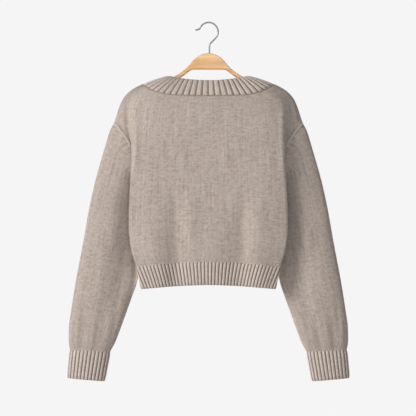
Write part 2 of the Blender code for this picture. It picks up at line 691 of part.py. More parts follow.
def hanger():
    """Flat wooden hanger: rounded rings from tip to tip, and a hole for the hook's shank."""
    corners = 12
    half = list(zip(WOOD["x"], WOOD["top"], WOOD["bottom"], WOOD["thick"]))
    stations = [(-x, top, bottom, thick) for x, top, bottom, thick in half[:0:-1]] + half
    points = []
    for x, top, bottom, thick in stations:
        for corner in range(corners):
            angle = 2 * math.pi * (corner + 0.5) / corners
            wide = math.copysign(abs(math.cos(angle)) ** 0.55, math.cos(angle))
            high = math.copysign(abs(math.sin(angle)) ** 0.55, math.sin(angle))
            middle = -(top + bottom) / 2
            points.append((x, thick * wide, middle + (bottom - top) / 2 * high))
    faces = []
    for ring in range(len(stations) - 1):
        for corner in range(corners):
            after = (corner + 1) % corners
            low, high = ring * corners, (ring + 1) * corners
            faces.append((low + corner, low + after, high + after, high + corner))
    faces.append(tuple(range(corners)))
    faces.append(tuple(range((len(stations) - 1) * corners, len(stations) * corners)))
    wood = build("hanger", np.array(points) * MM, faces, "wood")
    drill = bpy.data.meshes.new("shank_hole")
    form = bmesh.new()
    bmesh.ops.create_cone(form, cap_ends=True, segments=12, radius1=(WIRE_RADIUS + 0.4) * MM,
                          radius2=(WIRE_RADIUS + 0.4) * MM, depth=2 * SHANK_DEPTH * MM)
    form.to_mesh(drill)
    form.free()
    cutter = bpy.data.objects.new("shank_hole", drill)
    bpy.context.scene.collection.objects.link(cutter)
    cutter.location = (SHANK_X * MM, 0, -WOOD_TOP_DROP * MM)
    cutter.hide_render = True
    cutter.display_type = "WIRE"
    cut = wood.modifiers.new("shank_hole", "BOOLEAN")
    cut.operation = "DIFFERENCE"
    cut.object = cutter
    cut.solver = "EXACT"
    return wood


def hook_path():
    """Centre line of the wire: the flared tip, over the crown, down and into the wood."""
    centre_drop = HOOK_RADIUS - WIRE_RADIUS
    arc = []
    for step in range(19):
        angle = math.radians(160 + (-42 - 160) * step / 18)
        arc.append((HOOK_CENTRE_X + HOOK_RADIUS * math.cos(angle), -centre_drop + HOOK_RADIUS * math.sin(angle)))
    tip = [(-27.2, -14.4), (-23.6, -13.7), (-20.4, -12.8)]
    neck = [(11.6, -35), (7.8, -38.8), (4.6, -42), (2.8, -44.6), (SHANK_X, -48)]
    shank = [(SHANK_X, -54), (SHANK_X, -(WOOD_TOP_DROP + SHANK_DEPTH - 1))]
    return tip + arc + neck + shank


def hook():
    line = bpy.data.curves.new("hook", "CURVE")
    line.dimensions = "3D"
    line.bevel_depth = WIRE_RADIUS * MM
    line.bevel_resolution = 2
    line.use_fill_caps = True
    path = hook_path()
    run = line.splines.new("POLY")
    run.points.add(len(path) - 1)
    for point, (x, z) in zip(run.points, path):
        point.co = (x * MM, 0, z * MM, 1)
    return place("hook", line, "steel")


# ---------------------------------------------------------------- the whole

def main():
    clear_scene()
    back, back_thick = back_panel()
    wall("back", back, back + back_thick * JERSEY_WALL, "knit")
    neckband_back(back, back_thick)
    hem("hem_back", -1, -SIDE_T, SIDE_T, HEM_BACK_RIBS)
    for side, label in ((-1, "left"), (1, "right")):
        front, front_thick = front_panel(side)
        wall(f"front_{label}", front, front + front_thick * JERSEY_WALL, "knit")
        front_band(side, front, front_thick)
        hem_front(side)
        tube, tube_thick, axis = sleeve(side, back, back_thick)
        wall(f"sleeve_{label}", tube, tube + tube_thick * JERSEY_WALL, "knit", closed=True)
        cuff(f"cuff_{label}", side, axis)
    for number, drop in enumerate(BUTTON_DROPS, start=1):
        button(number, drop)
    hanger()
    hook()


main()
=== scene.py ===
"""Cropped wool cardigan on a flat wooden hanger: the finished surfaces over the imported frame.

The garment's back faces -Y. Shapes are worked out in millimetres, and `drop` is a distance down from the
inside top of the hook; `raise_mesh` turns them into metres.
"""

import math

import bpy
import numpy as np
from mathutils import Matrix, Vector


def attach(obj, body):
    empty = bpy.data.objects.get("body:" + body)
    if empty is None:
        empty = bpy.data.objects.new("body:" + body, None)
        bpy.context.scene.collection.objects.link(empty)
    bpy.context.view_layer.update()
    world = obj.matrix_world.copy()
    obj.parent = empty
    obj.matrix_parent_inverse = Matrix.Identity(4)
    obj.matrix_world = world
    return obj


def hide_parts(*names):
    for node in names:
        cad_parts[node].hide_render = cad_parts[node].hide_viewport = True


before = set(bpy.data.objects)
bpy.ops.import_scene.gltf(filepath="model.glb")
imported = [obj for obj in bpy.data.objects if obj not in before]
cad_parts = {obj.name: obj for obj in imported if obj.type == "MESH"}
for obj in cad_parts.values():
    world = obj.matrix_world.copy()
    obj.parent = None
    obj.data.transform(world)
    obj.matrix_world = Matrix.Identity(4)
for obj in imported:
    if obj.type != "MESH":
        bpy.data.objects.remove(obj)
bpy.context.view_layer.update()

MM = 0.001

# Knit
SEAM_GAP = 0.3
JERSEY_WALL = 2.9
RIB_WALL = 3.2
RIB_RAISE = 1.4
WALE = 0.0042                      # metres across one column of stitches
COURSE = 0.0032                    # metres up one row of stitches

# Drops of the main seams
SHOULDER_NECK_DROP = 127.7
SHOULDER_TIP_DROP = 210.0
UNDERARM_DROP = 388.0
HEM_SEAM_DROP = 510.0
HEM_EDGE_DROP = 558.0
HEM_ARCH = 10.0
HEM_ARCH_HALF = 150.0

# Neck
NECK_CORNER_X = 81.0
NECK_CORNER_DROP = 110.5
NECK_CENTRE_DROP = 120.0
NECK_CENTRE_Y = 27.0
NECK_SEAM_CENTRE_DROP = 153.5

# Front bands
BAND_HALF = 21.5
V_POINT_DROP = 345.0
V_SEAM_FLAT = 40.0                 # over this much above the V's point the seam's wall goes straight back
V_EDGE_SETTLES = 50.0              # and over this much the band's edge comes to lie on the front
OVERLAP_LIFT = RIB_WALL + RIB_RAISE + 0.6
LIFT_STARTS_DROP = 235.0
LIFT_FULL_DROP = 292.0
LIFT_FADES_X = 75.0

# Ribs: how many on each piece, how many points go across one, and how many rows go up one
NECK_RIBS = 24
BAND_V_RIBS = 20
BAND_STRAIGHT_RIBS = 18
HEM_BACK_RIBS = 54
HEM_FRONT_RIBS = 24
CUFF_RIBS = 26
RIB_POINTS = 8
RIB_ROWS = 9
RIB_UNIT = 6.0                     # mm of the stitch map given to one rib, whatever its width

# How finely the cloth is divided
FINER = 4
ARMHOLE_STEPS = 48
ARMHOLE_UNIT = 12 / ARMHOLE_STEPS  # distances round the armhole are counted in twelfths of its length
SECTION_STEPS = 241
OVAL_STEPS = 721
NECK_ROUNDS = 12                   # steps by which a column of the back finds the neck seam
ARMHOLE_HALF_DEPTH = 25.5
OVAL_POWER = 0.75
CUFF_HALF_DEPTH = 19.0
FRONT_COLUMNS = 45
SIDE_T = 6.0                       # the section's parameter on the side line
FOLDS_FADE = (2.0, 4.0)            # how far round the section the soft folds die away
CREASES_FADE = (4.1, 5.3)          # and the listed creases
LEAST_DEPTH = 8.0                  # no crease brings the cloth nearer to the middle plane

# How far the ends of a cloth wall are rolled in, as shares of its thickness: outer skin at the first and the
# last row, inner skin, and outer skin at the open sides
ROLLED = (0.27, 0.12)
INNER_ROLL = 0.16
SIDE_ROLL = 0.22

# Buttons
BUTTON_DROPS = (365.0, 407.0, 449.0, 491.0, 533.0)
BUTTON_GAP = 0.8
BUTTON_RADIUS = 9.4
BUTTON_THICK = 3.3
BUTTON_HOLE_OFF = 1.7
BUTTON_HOLE_RADIUS = 0.95
BUTTONHOLE_HALF = 11.6
BUTTON_RIM, BUTTON_STEP, BUTTON_DISH, BUTTON_SOFT = 1.9, 0.7, 1.0, 0.55

# Hook and hanger
WIRE_RADIUS = 1.7
HOOK_RADIUS = 19.7
HOOK_CENTRE_X = 0.6
SHANK_X = 2.1
SHANK_DEPTH = 16.0
WOOD_TOP_DROP = 63.0
WOOD_ROUND = 2.2
# The wire's flared tip, and its neck down into the wood: across and up
HOOK_TIP = [(-27.2, -14.4), (-25.4, -14.0), (-23.6, -13.7), (-22.0, -13.3), (-20.4, -12.8)]
HOOK_NECK = [(11.6, -35), (9.6, -37), (7.8, -38.8), (6.1, -40.4), (4.6, -42), (3.5, -43.3), (2.8, -44.6),
             (2.3, -46.2), (SHANK_X, -48), (SHANK_X, -54), (SHANK_X, -WOOD_TOP_DROP - SHANK_DEPTH + 1)]

# Picture and light: distances in metres
WORLD_LIGHT = 0.22
CAMERA_AWAY = 6.0
PICTURE_WIDE = 0.8736              # across the picture at the object
SENSOR = 36.0
CAMERA_AT = (-0.00084, -CAMERA_AWAY, -0.388)
PICTURE_PIXELS = 1248
FLOOR_Z = -1.25

LABEL = {-1: "left", 1: "right"}


def named(names, rows):
    """A short table as a dictionary of its named columns."""
    return dict(zip(names.split(), np.array(rows, dtype=float).T))


# Half cross-section of the body at some drops: the middle of the panel, the brow where the wall starts to
# turn, the crown of the side fold, the tuck behind it and the turn before the side line. All are shared by
# back and front, y being the distance from the garment's middle plane.
BODY = named(
    "drop depth brow_x brow_y crown_x crown_y tuck_x tuck_y turn_x turn_y",
    [
        (110, 36, 74, 24, 96, 15, 104, 9, 108, 5),
        (128, 40, 96, 27, 118, 17, 129, 10, 134, 5.5),
        (145, 44, 112, 35, 138, 24, 152, 15, 162, 8),
        (160, 47, 120, 40, 148, 29, 163, 17, 174, 9),
        (180, 50, 127, 44, 154, 33, 168, 21, 181, 11),
        (210, 52, 132, 48, 157, 38, 167, 26, 184, 15),
        (247, 53.5, 135, 50.5, 158, 42, 163, 31, 166, 27),
        (272, 54, 137, 51, 160, 43.5, 160.5, 34, 158, 29),
        (300, 54, 139, 52, 161.5, 44, 158, 34.5, 152, 31),
        (351, 54, 142, 52, 164, 44, 159, 34.5, 146, 31.5),
        (388, 54, 143, 52, 165.5, 44, 159, 34, 141, 31),
        (430, 54, 143, 52, 166, 44, 158, 34, 135, 31),
        (470, 53, 140, 51, 162, 43, 154, 33, 134, 29),
        (510, 50.5, 131, 48, 151, 41.5, 146, 31.5, 134, 26.5),
        (558, 46, 122, 43, 140, 37, 136.5, 28, 133, 20),
    ],
)

# Shoulder ridge, from the neckband to the tip of the dropped shoulder
RIDGE = named("drop x", [(110.5, 81), (127.7, 137.5), (136, 154.8), (144.5, 167), (153, 175), (161, 180.5),
                         (178, 188), (195, 193.5), (210, 198.5)])
# Armhole seam, back and front alike
ARMHOLE = named("drop x", [(210, 198.5), (227, 184), (247, 170), (272, 156.5), (299, 147), (326, 141),
                           (351, 137), (371, 133.5), (388, 130)])
# Side line, tucked in between back and front
SIDE = named("drop x", [(388, 130), (400, 123), (430, 114), (470, 114), (510, 124.5), (558, 131.5)])

# Back neck seam and front V seam, and the neck edge of the front bands
NECK_SEAM = named("x drop", [(0, 153.5), (70, 152), (101.6, 146.6), (122.6, 138), (137.5, 127.7)])
V_SEAM = named("drop x", [(127.7, 136.5), (135, 131), (150, 120), (180, 101), (220, 77), (260, 55), (300, 35),
                          (325, 26), (345, 21.5), (558, 21.5)])
V_EDGE = named("drop x y", [(110.5, 81, 0), (114, 80.6, 9.5), (125, 77.5, 20), (150, 69, 30), (180, 56, 38),
                            (220, 37, 45), (260, 18, 50), (300, -1, 53), (325, -12.5, 53.8),
                            (345, -21.5, 54)])

# Outer and inner edges of the right sleeve as seen from the back
SLEEVE_OUTER = named("drop x", [(210, 198.5), (224, 206), (266, 219), (329, 237), (392, 251), (455, 262),
                                (539, 278), (602, 288), (640, 293), (665, 293.5), (685, 290.8)])
SLEEVE_INNER = named("drop x", [(388, 130), (420, 132.5), (460, 137), (500, 143), (543, 150), (581, 163),
                                (615, 175), (648, 187), (672, 196.5), (689, 206)])
# Rings of the sleeve: the drop of the outer and of the inner edge, and half the depth between
SLEEVE_RINGS = named("outer inner depth", [
    (224, 391, 24.4), (246, 394.5, 23.6), (276, 400, 23), (315, 410, 23), (360, 425, 23.5), (410, 449, 24),
    (460, 480, 24.5), (510, 519, 25), (560, 562, 25.5), (600, 601, 25.5), (632, 633, 25), (656, 657, 24),
    (673, 675, 22.5), (684.7, 688.7, 20.5)])
# Cuff corners: outer and inner edge at its seam and at its end
CUFF = named("outer_x outer_drop inner_x inner_drop", [(290.8, 685, 206, 689), (296, 744, 217.5, 751)])

# Soft hanging folds: place across, half width, drop where they start, depth (a ridge is negative)
BACK_FOLDS = named("x width starts depth", [(-66, 22, 350, 6), (62, 24, 340, 5.5), (-104, 22, 400, -2.5),
                                            (98, 24, 380, -3), (4, 34, 380, -2)])
FRONT_FOLDS = named("x width starts depth", [(-80, 22, 360, 4.5), (74, 24, 350, 5), (-112, 20, 400, -2),
                                             (110, 20, 390, -2.5)])
SLEEVE_FOLDS = named("share width starts depth", [(0.3, 0.1, 560, 3.2), (0.62, 0.1, 520, 3.0),
                                                  (0.46, 0.08, 600, -1.6)])
FOLDS_FULL_DROP = 500.0
SLEEVE_FOLDS_FULL_DROP = 668.0
SINK_ACROSS = (0.36, 0.82)         # share across over which a sleeve starts to fall away beside the body
SINK_STARTS = (235, 300)           # drops over which that starts, and over which it ends
SINK_ENDS = (520, 640)
SLEEVE_SINKS = (6.0, 15.5)         # mm by which a sleeve falls away beside the body, in front and at the back

# Creases listed one by one: face, start across and down, end across and down, half width, depth
CREASES = (
    (-1, -171, 150, -161, 300, 8, 6.5), (-1, -152, 160, -151, 330, 7, -2.6),
    (-1, 176, 160, 167, 300, 8, 5.0), (-1, 155, 160, 155, 330, 7, -2.4),
    (-1, -68, 366, -64, 506, 12, 4.2), (-1, -38, 360, -36, 500, 12, -3.0),
    (-1, 72, 360, 72, 508, 12, 5.0), (-1, 102, 352, 100, 500, 12, -3.4),
    (-1, -122, 420, -112, 500, 9, -2.0), (-1, -6, 380, -12, 490, 16, 1.2),
    (-1, -118, 240, -88, 330, 9, 1.6), (-1, 120, 252, 86, 340, 10, 1.6),
    (-1, -60, 190, 20, 214, 10, 0.9), (-1, 52, 290, 98, 360, 10, -1.2),
    (1, -174, 160, -166, 290, 8, 5.0), (1, 174, 160, 167, 290, 8, 5.0),
    (1, 120, 250, 74, 322, 9, 1.6), (1, -118, 268, -80, 352, 9, 1.5),
    (1, 60, 380, 52, 500, 12, 2.6), (1, -56, 400, -60, 500, 11, 2.4),
    (1, 96, 380, 92, 500, 11, -2.0), (1, -98, 380, -94, 500, 11, -2.0),
)

# Creases of the sleeves: share across from the outer edge, drop, how much the share drifts over the length,
# half length, half width (as a share), depth
SLEEVE_CREASES = (
    (0.50, 372, 0.10, 50, 0.060, 0.8), (0.30, 430, -0.08, 52, 0.050, 0.9),
    (0.62, 470, 0.10, 50, 0.050, 1.2), (0.42, 545, -0.06, 46, 0.045, 1.1), (0.74, 590, 0.06, 52, 0.050, 1.5),
    (0.20, 612, 0.03, 44, 0.045, 1.6), (0.52, 640, 0.02, 30, 0.035, 1.5), (0.36, 650, 0.02, 26, 0.030, 1.3),
    (0.84, 645, 0.02, 30, 0.030, 1.2), (0.10, 655, 0.0, 22, 0.025, 1.0),
)

# Wood of the hanger: across, drop of its top and bottom edge, half its thickness
WOOD = named("x top bottom thick", [
    (0, 63, 97.2, 6.5), (11, 64.6, 97.2, 6.5), (21, 68.9, 97.2, 6.5), (29, 75.6, 97.2, 6.5),
    (36, 84, 98, 6.5), (43, 91.4, 102.2, 6.2), (50, 97.9, 107.8, 6), (58, 103.8, 113.6, 5.8),
    (68, 109.8, 119.4, 5.4), (81, 116.3, 125.6, 5), (100, 122.2, 131.8, 5), (120, 128.6, 138, 5),
    (137.5, 134.9, 144, 4.8), (150, 140.1, 148.9, 4.4), (160, 146.4, 153.8, 3.6), (165, 150.4, 155.8, 2.4)])

# Colours. Wool fibres are dark, middle and light. A rib has one or two columns of stitches on it, and for
# each kind there is the half width of its raised part and how dark the painted shade down its valley is.
WOOL = ((0.325, 0.263, 0.223, 1.0), (0.512, 0.431, 0.379, 1.0), (0.665, 0.582, 0.524, 1.0))
# Painted shade: the dark brown mixed into the knit in the hollows between the legs of the stitches and down
# the valleys of a rib
HOLLOW_PAINTED_SHADE = (0.105, 0.078, 0.062, 1.0)
BLOOM_TINT = (0.86, 0.80, 0.74, 1.0)
RIB_HALF = {1: 0.31, 2: 0.35}
VALLEY_PAINTED_SHADE = {1: 0.84, 2: 0.80}
SEAM_YARN = (0.300, 0.238, 0.200, 1.0)
# Paler than any wool fibre: a painted highlight along the raised armhole welts; the hem and cuff linking
# stitches use it too
WELT_YARN_PAINTED_HIGHLIGHT = (0.720, 0.640, 0.575, 1.0)
BUTTON_YARN = (0.520, 0.450, 0.390, 1.0)
WOOD_DARK, WOOD_PALE = (0.540, 0.290, 0.108, 1.0), (0.740, 0.450, 0.190, 1.0)
WOOD_PORE = (0.430, 0.215, 0.080, 1.0)
STEEL = (0.30, 0.30, 0.31, 1.0)
HORN_DARK, HORN_PALE = (0.120, 0.068, 0.042, 1.0), (0.330, 0.220, 0.145, 1.0)
FLOOR_PALE = (0.86, 0.86, 0.86, 1.0)
BACKDROP = (0.921, 0.913, 0.921, 1.0)

# Lights: power, place, the point each looks at, size and colour
LIGHTS = {
    "key": (335, (-4.4, -2.95, 1.5), (0, 0, -0.38), (2.8, 2.8), (1.0, 0.985, 0.965)),
    "front": (30, (0.5, -3.4, 0.6), (0, 0, -0.40), (1.6, 1.6), (0.98, 0.99, 1.0)),
    "behind": (45, (1.2, 3.6, 1.2), (0, 0, -0.40), (1.8, 1.8), (0.98, 0.99, 1.0)),
    "top": (8, (0.0, -0.4, 1.7), (0, 0, -0.3), (1.4, 1.0), (1.0, 1.0, 1.0)),
}


# ---------------------------------------------------------------- curves

def smooth(at, stations, values):
    """Curve through a table column that never overshoots between its stations."""
    steps = np.diff(stations)
    rises = np.diff(values) / steps
    slopes = np.concatenate([[rises[0]], np.zeros(len(rises) - 1), [rises[-1]]])
    same_way = rises[1:] * rises[:-1] > 0
    pair = np.where(same_way, rises[1:] + rises[:-1], 1.0)
    slopes[1:-1] = np.where(same_way, 2 * rises[1:] * rises[:-1] / pair, 0.0)
    at = np.clip(at, stations[0], stations[-1])
    cell = np.clip(np.searchsorted(stations, at) - 1, 0, len(steps) - 1)
    width = steps[cell]
    part = (at - stations[cell]) / width
    rest = 1 - part
    return (rest * rest * (1 + 2 * part) * values[cell] + part * rest * rest * width * slopes[cell]
            + part * part * (3 - 2 * part) * values[cell + 1] - part * part * rest * width * slopes[cell + 1])


def read(table, column, at, along="drop"):
    return float(smooth(at, table[along], table[column]))


def ease(value, low, high):
    """0 below low, 1 above high, smooth between."""
    part = min(max((value - low) / (high - low), 0.0), 1.0)
    return part * part * (3 - 2 * part)


def bump(value, centre, half_width):
    return math.exp(-((value - centre) / half_width) ** 2)


def spline(keys, t):
    """Point at t on a smooth curve through the keys. The first and last only steer it: keys[1] is at 0."""
    cell = min(int(t), len(keys) - 4)
    part = t - cell
    four = keys[cell:cell + 4]
    gaps = np.linalg.norm(np.diff(four, axis=0), axis=1) + 1e-6
    before, own, after = gaps
    runs = np.diff(four, axis=0) / gaps[:, None]
    tangent_a = (runs[0] * own + runs[1] * before) / (before + own)
    tangent_b = (runs[1] * after + runs[2] * own) / (own + after)
    rest = 1 - part
    return (rest * rest * (1 + 2 * part) * four[1] + part * rest * rest * own * tangent_a
            + part * part * (3 - 2 * part) * four[2] - part * part * rest * own * tangent_b)


def unit(vectors):
    vectors = np.asarray(vectors, dtype=float)
    return vectors / np.maximum(np.linalg.norm(vectors, axis=-1, keepdims=True), 1e-9)


def lengths(points):
    """Running length along a row of points."""
    return np.concatenate([[0.0], np.cumsum(np.linalg.norm(np.diff(points, axis=0), axis=1))])


def along(points, shares, values=None):
    """Points (or values kept at them) at shares of a row's length."""
    run = lengths(points)
    values = points if values is None else values
    at = np.asarray(shares) * run[-1]
    return np.stack([np.interp(at, run, values[:, axis]) for axis in range(3)], axis=1)


def inward(grid, closed=False, turn=1):
    """Unit vectors from the outer points into the wall."""
    across = (np.roll(grid, -1, axis=1) - np.roll(grid, 1, axis=1)) if closed else np.gradient(grid, axis=1)
    down = np.gradient(grid, axis=0)
    return turn * unit(np.cross(across, down))


# ---------------------------------------------------------------- cloth walls

def running(grid, axis):
    """Running length over a grid of points along one axis."""
    steps = np.linalg.norm(np.diff(grid, axis=axis), axis=2)
    start = np.zeros_like(np.take(steps, [0], axis=axis))
    return np.concatenate([start, np.cumsum(steps, axis=axis)], axis=axis)


def knit_map(grid, closed=False, across=None):
    """Stitch map in metres: columns of stitches run straight down the piece, rows are counted up from its
    end. A ribbed piece gives its own places across, one rib after another."""
    ring = np.concatenate([grid, grid[:, :1]], axis=1) if closed else grid
    if across is None:
        across = running(ring, 1).mean(axis=0)
        across = across - across[-1] / 2
    down = running(ring, 0)
    up = down[-1:] - down
    return np.stack([np.broadcast_to(across, up.shape), up], axis=2) * MM


def new_object(name, data):
    item = bpy.data.objects.new(name, data)
    bpy.context.scene.collection.objects.link(item)
    return item


def raise_mesh(name, points, faces, maps, material):
    """Mesh object at the origin from points in mm, its faces turned outwards, with a stitch map."""
    mesh = bpy.data.meshes.new(name)
    mesh.from_pydata([tuple(point) for point in np.asarray(points) * MM], [], faces)
    layer = mesh.uv_layers.new(name="stitches")
    layer.data.foreach_set("uv", np.asarray(maps, dtype=np.float32).ravel())
    mesh.materials.append(material)
    mesh.validate()
    item = new_object(name, mesh)
    select_only(item)
    bpy.ops.object.mode_set(mode="EDIT")
    bpy.ops.mesh.select_all(action="SELECT")
    bpy.ops.mesh.normals_make_consistent(inside=False)
    bpy.ops.object.mode_set(mode="OBJECT")
    bpy.ops.object.shade_smooth()
    return item


def select_only(item):
    bpy.ops.object.select_all(action="DESELECT")
    item.select_set(True)
    bpy.context.view_layer.objects.active = item


def cloth_wall(name, outer, inner, material, closed=False, rounded=0.7, across=None):
    """Closed wall between two grids, its cut edges rolled over by `rounded` mm."""
    rows, columns = outer.shape[:2]
    maps = knit_map(outer, closed, across)
    outer, inner = outer.copy(), inner.copy()
    thick = inner - outer
    lips = []
    for row, beside, share in ((0, 1, ROLLED[0]), (-1, -2, ROLLED[1])):
        lips.append((outer[row] + inner[row]) / 2 + unit(outer[row] - outer[beside]) * rounded)
        outer[row] += thick[row] * share
        inner[row] -= thick[row] * INNER_ROLL
    if not closed:
        for column in (0, -1):
            outer[:, column] += thick[:, column] * SIDE_ROLL
    stack = np.concatenate([lips[0][None], outer, lips[1][None], inner[::-1]])
    stack_maps = np.concatenate([maps[:1], maps, maps[-1:], maps[::-1]])
    total = len(stack)
    faces, uv = [], []

    def add_face(*corners):
        """One face between corners given by their row and column in the stack."""
        faces.append([row * columns + column % columns for row, column in corners])
        uv.extend(stack_maps[corner] for corner in corners)

    for row in range(total):
        after = (row + 1) % total
        for column in range(columns - 1 + closed):
            add_face((row, column), (row, column + 1), (after, column + 1), (after, column))
    if not closed:
        end = rows + 1
        for column in (0, columns - 1):
            for low in range(1, rows):
                high = total - low
                add_face((low, column), (low + 1, column), (high - 1, column), (high, column))
            add_face((0, column), (1, column), (total - 1, column))
            add_face((end, column), (end - 1, column), (end + 1, column))
    return raise_mesh(name, stack.reshape(-1, 3), faces, uv, material)


def finer(values, times=FINER):
    """The same list with its steps divided."""
    count = (len(values) - 1) * times + 1
    return np.interp(np.linspace(0, len(values) - 1, count), np.arange(len(values)), values)


# ---------------------------------------------------------------- body

def oval_share(step):
    """Share of the way from shoulder tip to underarm of one step of the armhole."""
    return (1 - math.cos(math.pi * step / ARMHOLE_STEPS)) / 2


def side_point(drop):
    """Where the half section ends: shoulder ridge, armhole seam or side line."""
    if drop <= SHOULDER_TIP_DROP:
        return read(RIDGE, "x", drop), 0.0
    if drop >= UNDERARM_DROP:
        return read(SIDE, "x", drop), 0.0
    share = (drop - SHOULDER_TIP_DROP) / (UNDERARM_DROP - SHOULDER_TIP_DROP)
    round_part = math.sin(math.acos(1 - 2 * share))
    return read(ARMHOLE, "x", drop), ARMHOLE_HALF_DEPTH * round_part ** OVAL_POWER


def section_keys(drop):
    """Points that steer the half section at one drop, from the middle of the panel to the side line."""
    depth = read(BODY, "depth", drop)
    brow, crown, tuck, turn = ([read(BODY, f"{spot}_{way}", drop) for way in "xy"]
                               for spot in ("brow", "crown", "tuck", "turn"))
    flat = (0.5 * brow[0], depth - 0.12 * (depth - brow[1]))
    side = side_point(drop)
    beyond = (turn[0], -turn[1]) if side[1] == 0 else (side[0] - 1, side[1] - 6)
    return np.array([(-flat[0], flat[1]), (0, depth), flat, brow, crown, tuck, turn, side, beyond])


def fold_depth(folds, x, drop):
    return sum(depth * bump(x, centre, width) * ease(drop, starts, FOLDS_FULL_DROP)
               for centre, width, starts, depth in zip(*folds.values()))


def lift(x, drop):
    """How far the right front stands out where its band lies over the left one."""
    near = 1 - ease(x, BAND_HALF, LIFT_FADES_X)
    return OVERLAP_LIFT * ease(drop, LIFT_STARTS_DROP, LIFT_FULL_DROP) * near


def body_point(drop, t, face):
    """Point on the body's outer surface. t runs from the left side line (-SIDE_T) to the right one, and face
    is -1 for the back and 1 for the front."""
    x, y = spline(section_keys(drop), abs(t))
    x = math.copysign(x, t) if t else 0.0
    folds = BACK_FOLDS if face < 0 else FRONT_FOLDS
    if abs(t) < FOLDS_FADE[1]:
        y -= fold_depth(folds, x, drop) * (1 - ease(abs(t), *FOLDS_FADE))
    if y > LEAST_DEPTH:
        y -= min(crease_depth(x, drop, face), y - LEAST_DEPTH) * (1 - ease(abs(t), *CREASES_FADE))
    if face > 0 and x > 0 and abs(t) < FOLDS_FADE[1]:
        y += lift(x, drop)
    if abs(t) >= SIDE_T - 1e-6 and y < SEAM_GAP:
        y = SEAM_GAP / 2
    return np.array([x, face * y, -drop])


def crease_depth(x, drop, face):
    """Soft creases, listed one by one: each is a short trough on a line, or a ridge where its depth is
    negative.
    """
    total = 0.0
    for side, start_x, start_drop, end_x, end_drop, width, depth in CREASES:
        if side != face:
            continue
        run = np.array([end_x - start_x, end_drop - start_drop])
        reach = float(np.linalg.norm(run))
        spot = np.array([x - start_x, drop - start_drop])
        share = float(spot @ run) / reach ** 2
        off = abs(float(spot[0] * run[1] - spot[1] * run[0])) / reach
        total += depth * math.exp(-(off / width) ** 2) * math.exp(-(2.1 * (share - 0.5)) ** 4)
    return total


def side_drops():
    """Drops of the rows on the side line, from the neck's shoulder point to the hem seam."""
    shoulder = finer([SHOULDER_NECK_DROP, 136, 144.5, 154, 168, 188, SHOULDER_TIP_DROP])[:-1]
    armhole = [SHOULDER_TIP_DROP + (UNDERARM_DROP - SHOULDER_TIP_DROP) * oval_share(step)
               for step in range(ARMHOLE_STEPS + 1)]
    side = finer([UNDERARM_DROP, 400, 424, 452, 482, HEM_SEAM_DROP - SEAM_GAP])[1:]
    return np.concatenate([shoulder, armhole, side]), len(shoulder)


PANEL_T = finer([0, 0.5, 1, 1.5, 2, 2.45, 2.8, 3.1, 3.45, 3.8, 4.25, 4.65, 5, 5.5, 6])


def arch(x, drop_at_side):
    """Drop of a hem line, which rises towards the middle of the garment."""
    return drop_at_side - HEM_ARCH * (1 - min(abs(x) / HEM_ARCH_HALF, 1.0) ** 1.6)


def panel_drop(share_side, share_middle, top, bottom, t):
    share = share_middle + (share_side - share_middle) * ease(abs(t), 1.5, SIDE_T)
    return top + (bottom - top) * share


def level_ends(thick, rows_flat, grid):
    """Wall directions: flat in the seam plane along ridge and side line, level along the hem seam."""
    for side in (0, -1):
        for row in range(len(grid)):
            if abs(grid[row, side, 1]) < SEAM_GAP:
                thick[row, side, 1] = 0
    for row in rows_flat:
        thick[row, :, 2] = 0
    return unit(thick)


def front_start(drop):
    """Section parameter where the front's half section meets the band seam."""
    target = read(V_SEAM, "x", drop)
    keys = section_keys(drop)
    ts = np.linspace(0, SIDE_T, SECTION_STEPS)
    xs = np.array([spline(keys, t)[0] for t in ts])
    past = int(np.argmax(xs >= target))
    low, high = xs[max(past - 1, 0)], xs[past]
    return ts[max(past - 1, 0)] + (ts[1] - ts[0]) * (target - low) / max(high - low, 1e-6)


def cloth_grid(drops, ts, tops, bottoms, middle_share, face):
    side_share = (drops - drops[0]) / (drops[-1] - drops[0])
    grid = np.zeros((len(drops), len(ts), 3))
    for c, t in enumerate(ts):
        for r in range(len(drops)):
            drop = panel_drop(side_share[r], middle_share[r], tops[c], bottoms[c], t)
            grid[r, c] = body_point(drop, t, face)
    return grid


def back_panel():
    """Back's outer grid and its wall directions."""
    drops, _ = side_drops()
    ts = np.concatenate([-PANEL_T[:0:-1], PANEL_T])
    tops, bottoms = [], []
    for t in ts:
        top = NECK_SEAM_CENTRE_DROP
        for _ in range(NECK_ROUNDS):
            top = 0.5 * top + 0.5 * read(NECK_SEAM, "drop", abs(body_point(top, t, -1)[0]), along="x")
        tops.append(SHOULDER_NECK_DROP if abs(t) == SIDE_T else top)
        bottoms.append(arch(body_point(HEM_SEAM_DROP, t, -1)[0], HEM_SEAM_DROP) - SEAM_GAP)
    grid = cloth_grid(drops, ts, tops, bottoms, np.linspace(0, 1, len(drops)), -1)
    return grid, level_ends(inward(grid), [-1], grid)


def front_panel(side):
    """Grid from the band seam to the side line; side is -1 for the left front and 1 for the right one."""
    drops, _ = side_drops()
    count = len(drops)
    seam_drops = np.interp(np.linspace(0, 1, count), [0, 0.12, 1],
                           [SHOULDER_NECK_DROP + 1.2, 152, arch(BAND_HALF, HEM_SEAM_DROP) - SEAM_GAP])
    grid = np.zeros((count, FRONT_COLUMNS, 3))
    for r in range(count):
        start = front_start(seam_drops[r])
        for c in range(FRONT_COLUMNS):
            share = c / (FRONT_COLUMNS - 1)
            t = start + (SIDE_T - start) * share
            drop = seam_drops[r] + (drops[r] - seam_drops[r]) * ease(share, 0.0, 1.0)
            if r == count - 1 and c > 0:
                drop = arch(body_point(HEM_SEAM_DROP, t, 1)[0], HEM_SEAM_DROP) - SEAM_GAP
            grid[r, c] = body_point(drop, side * t, 1)
    thick = level_ends(inward(grid, turn=-side), [-1], grid)
    thick[seam_drops > V_POINT_DROP - V_SEAM_FLAT, 0, 0] = 0
    return grid, unit(thick)


# ---------------------------------------------------------------- ribs

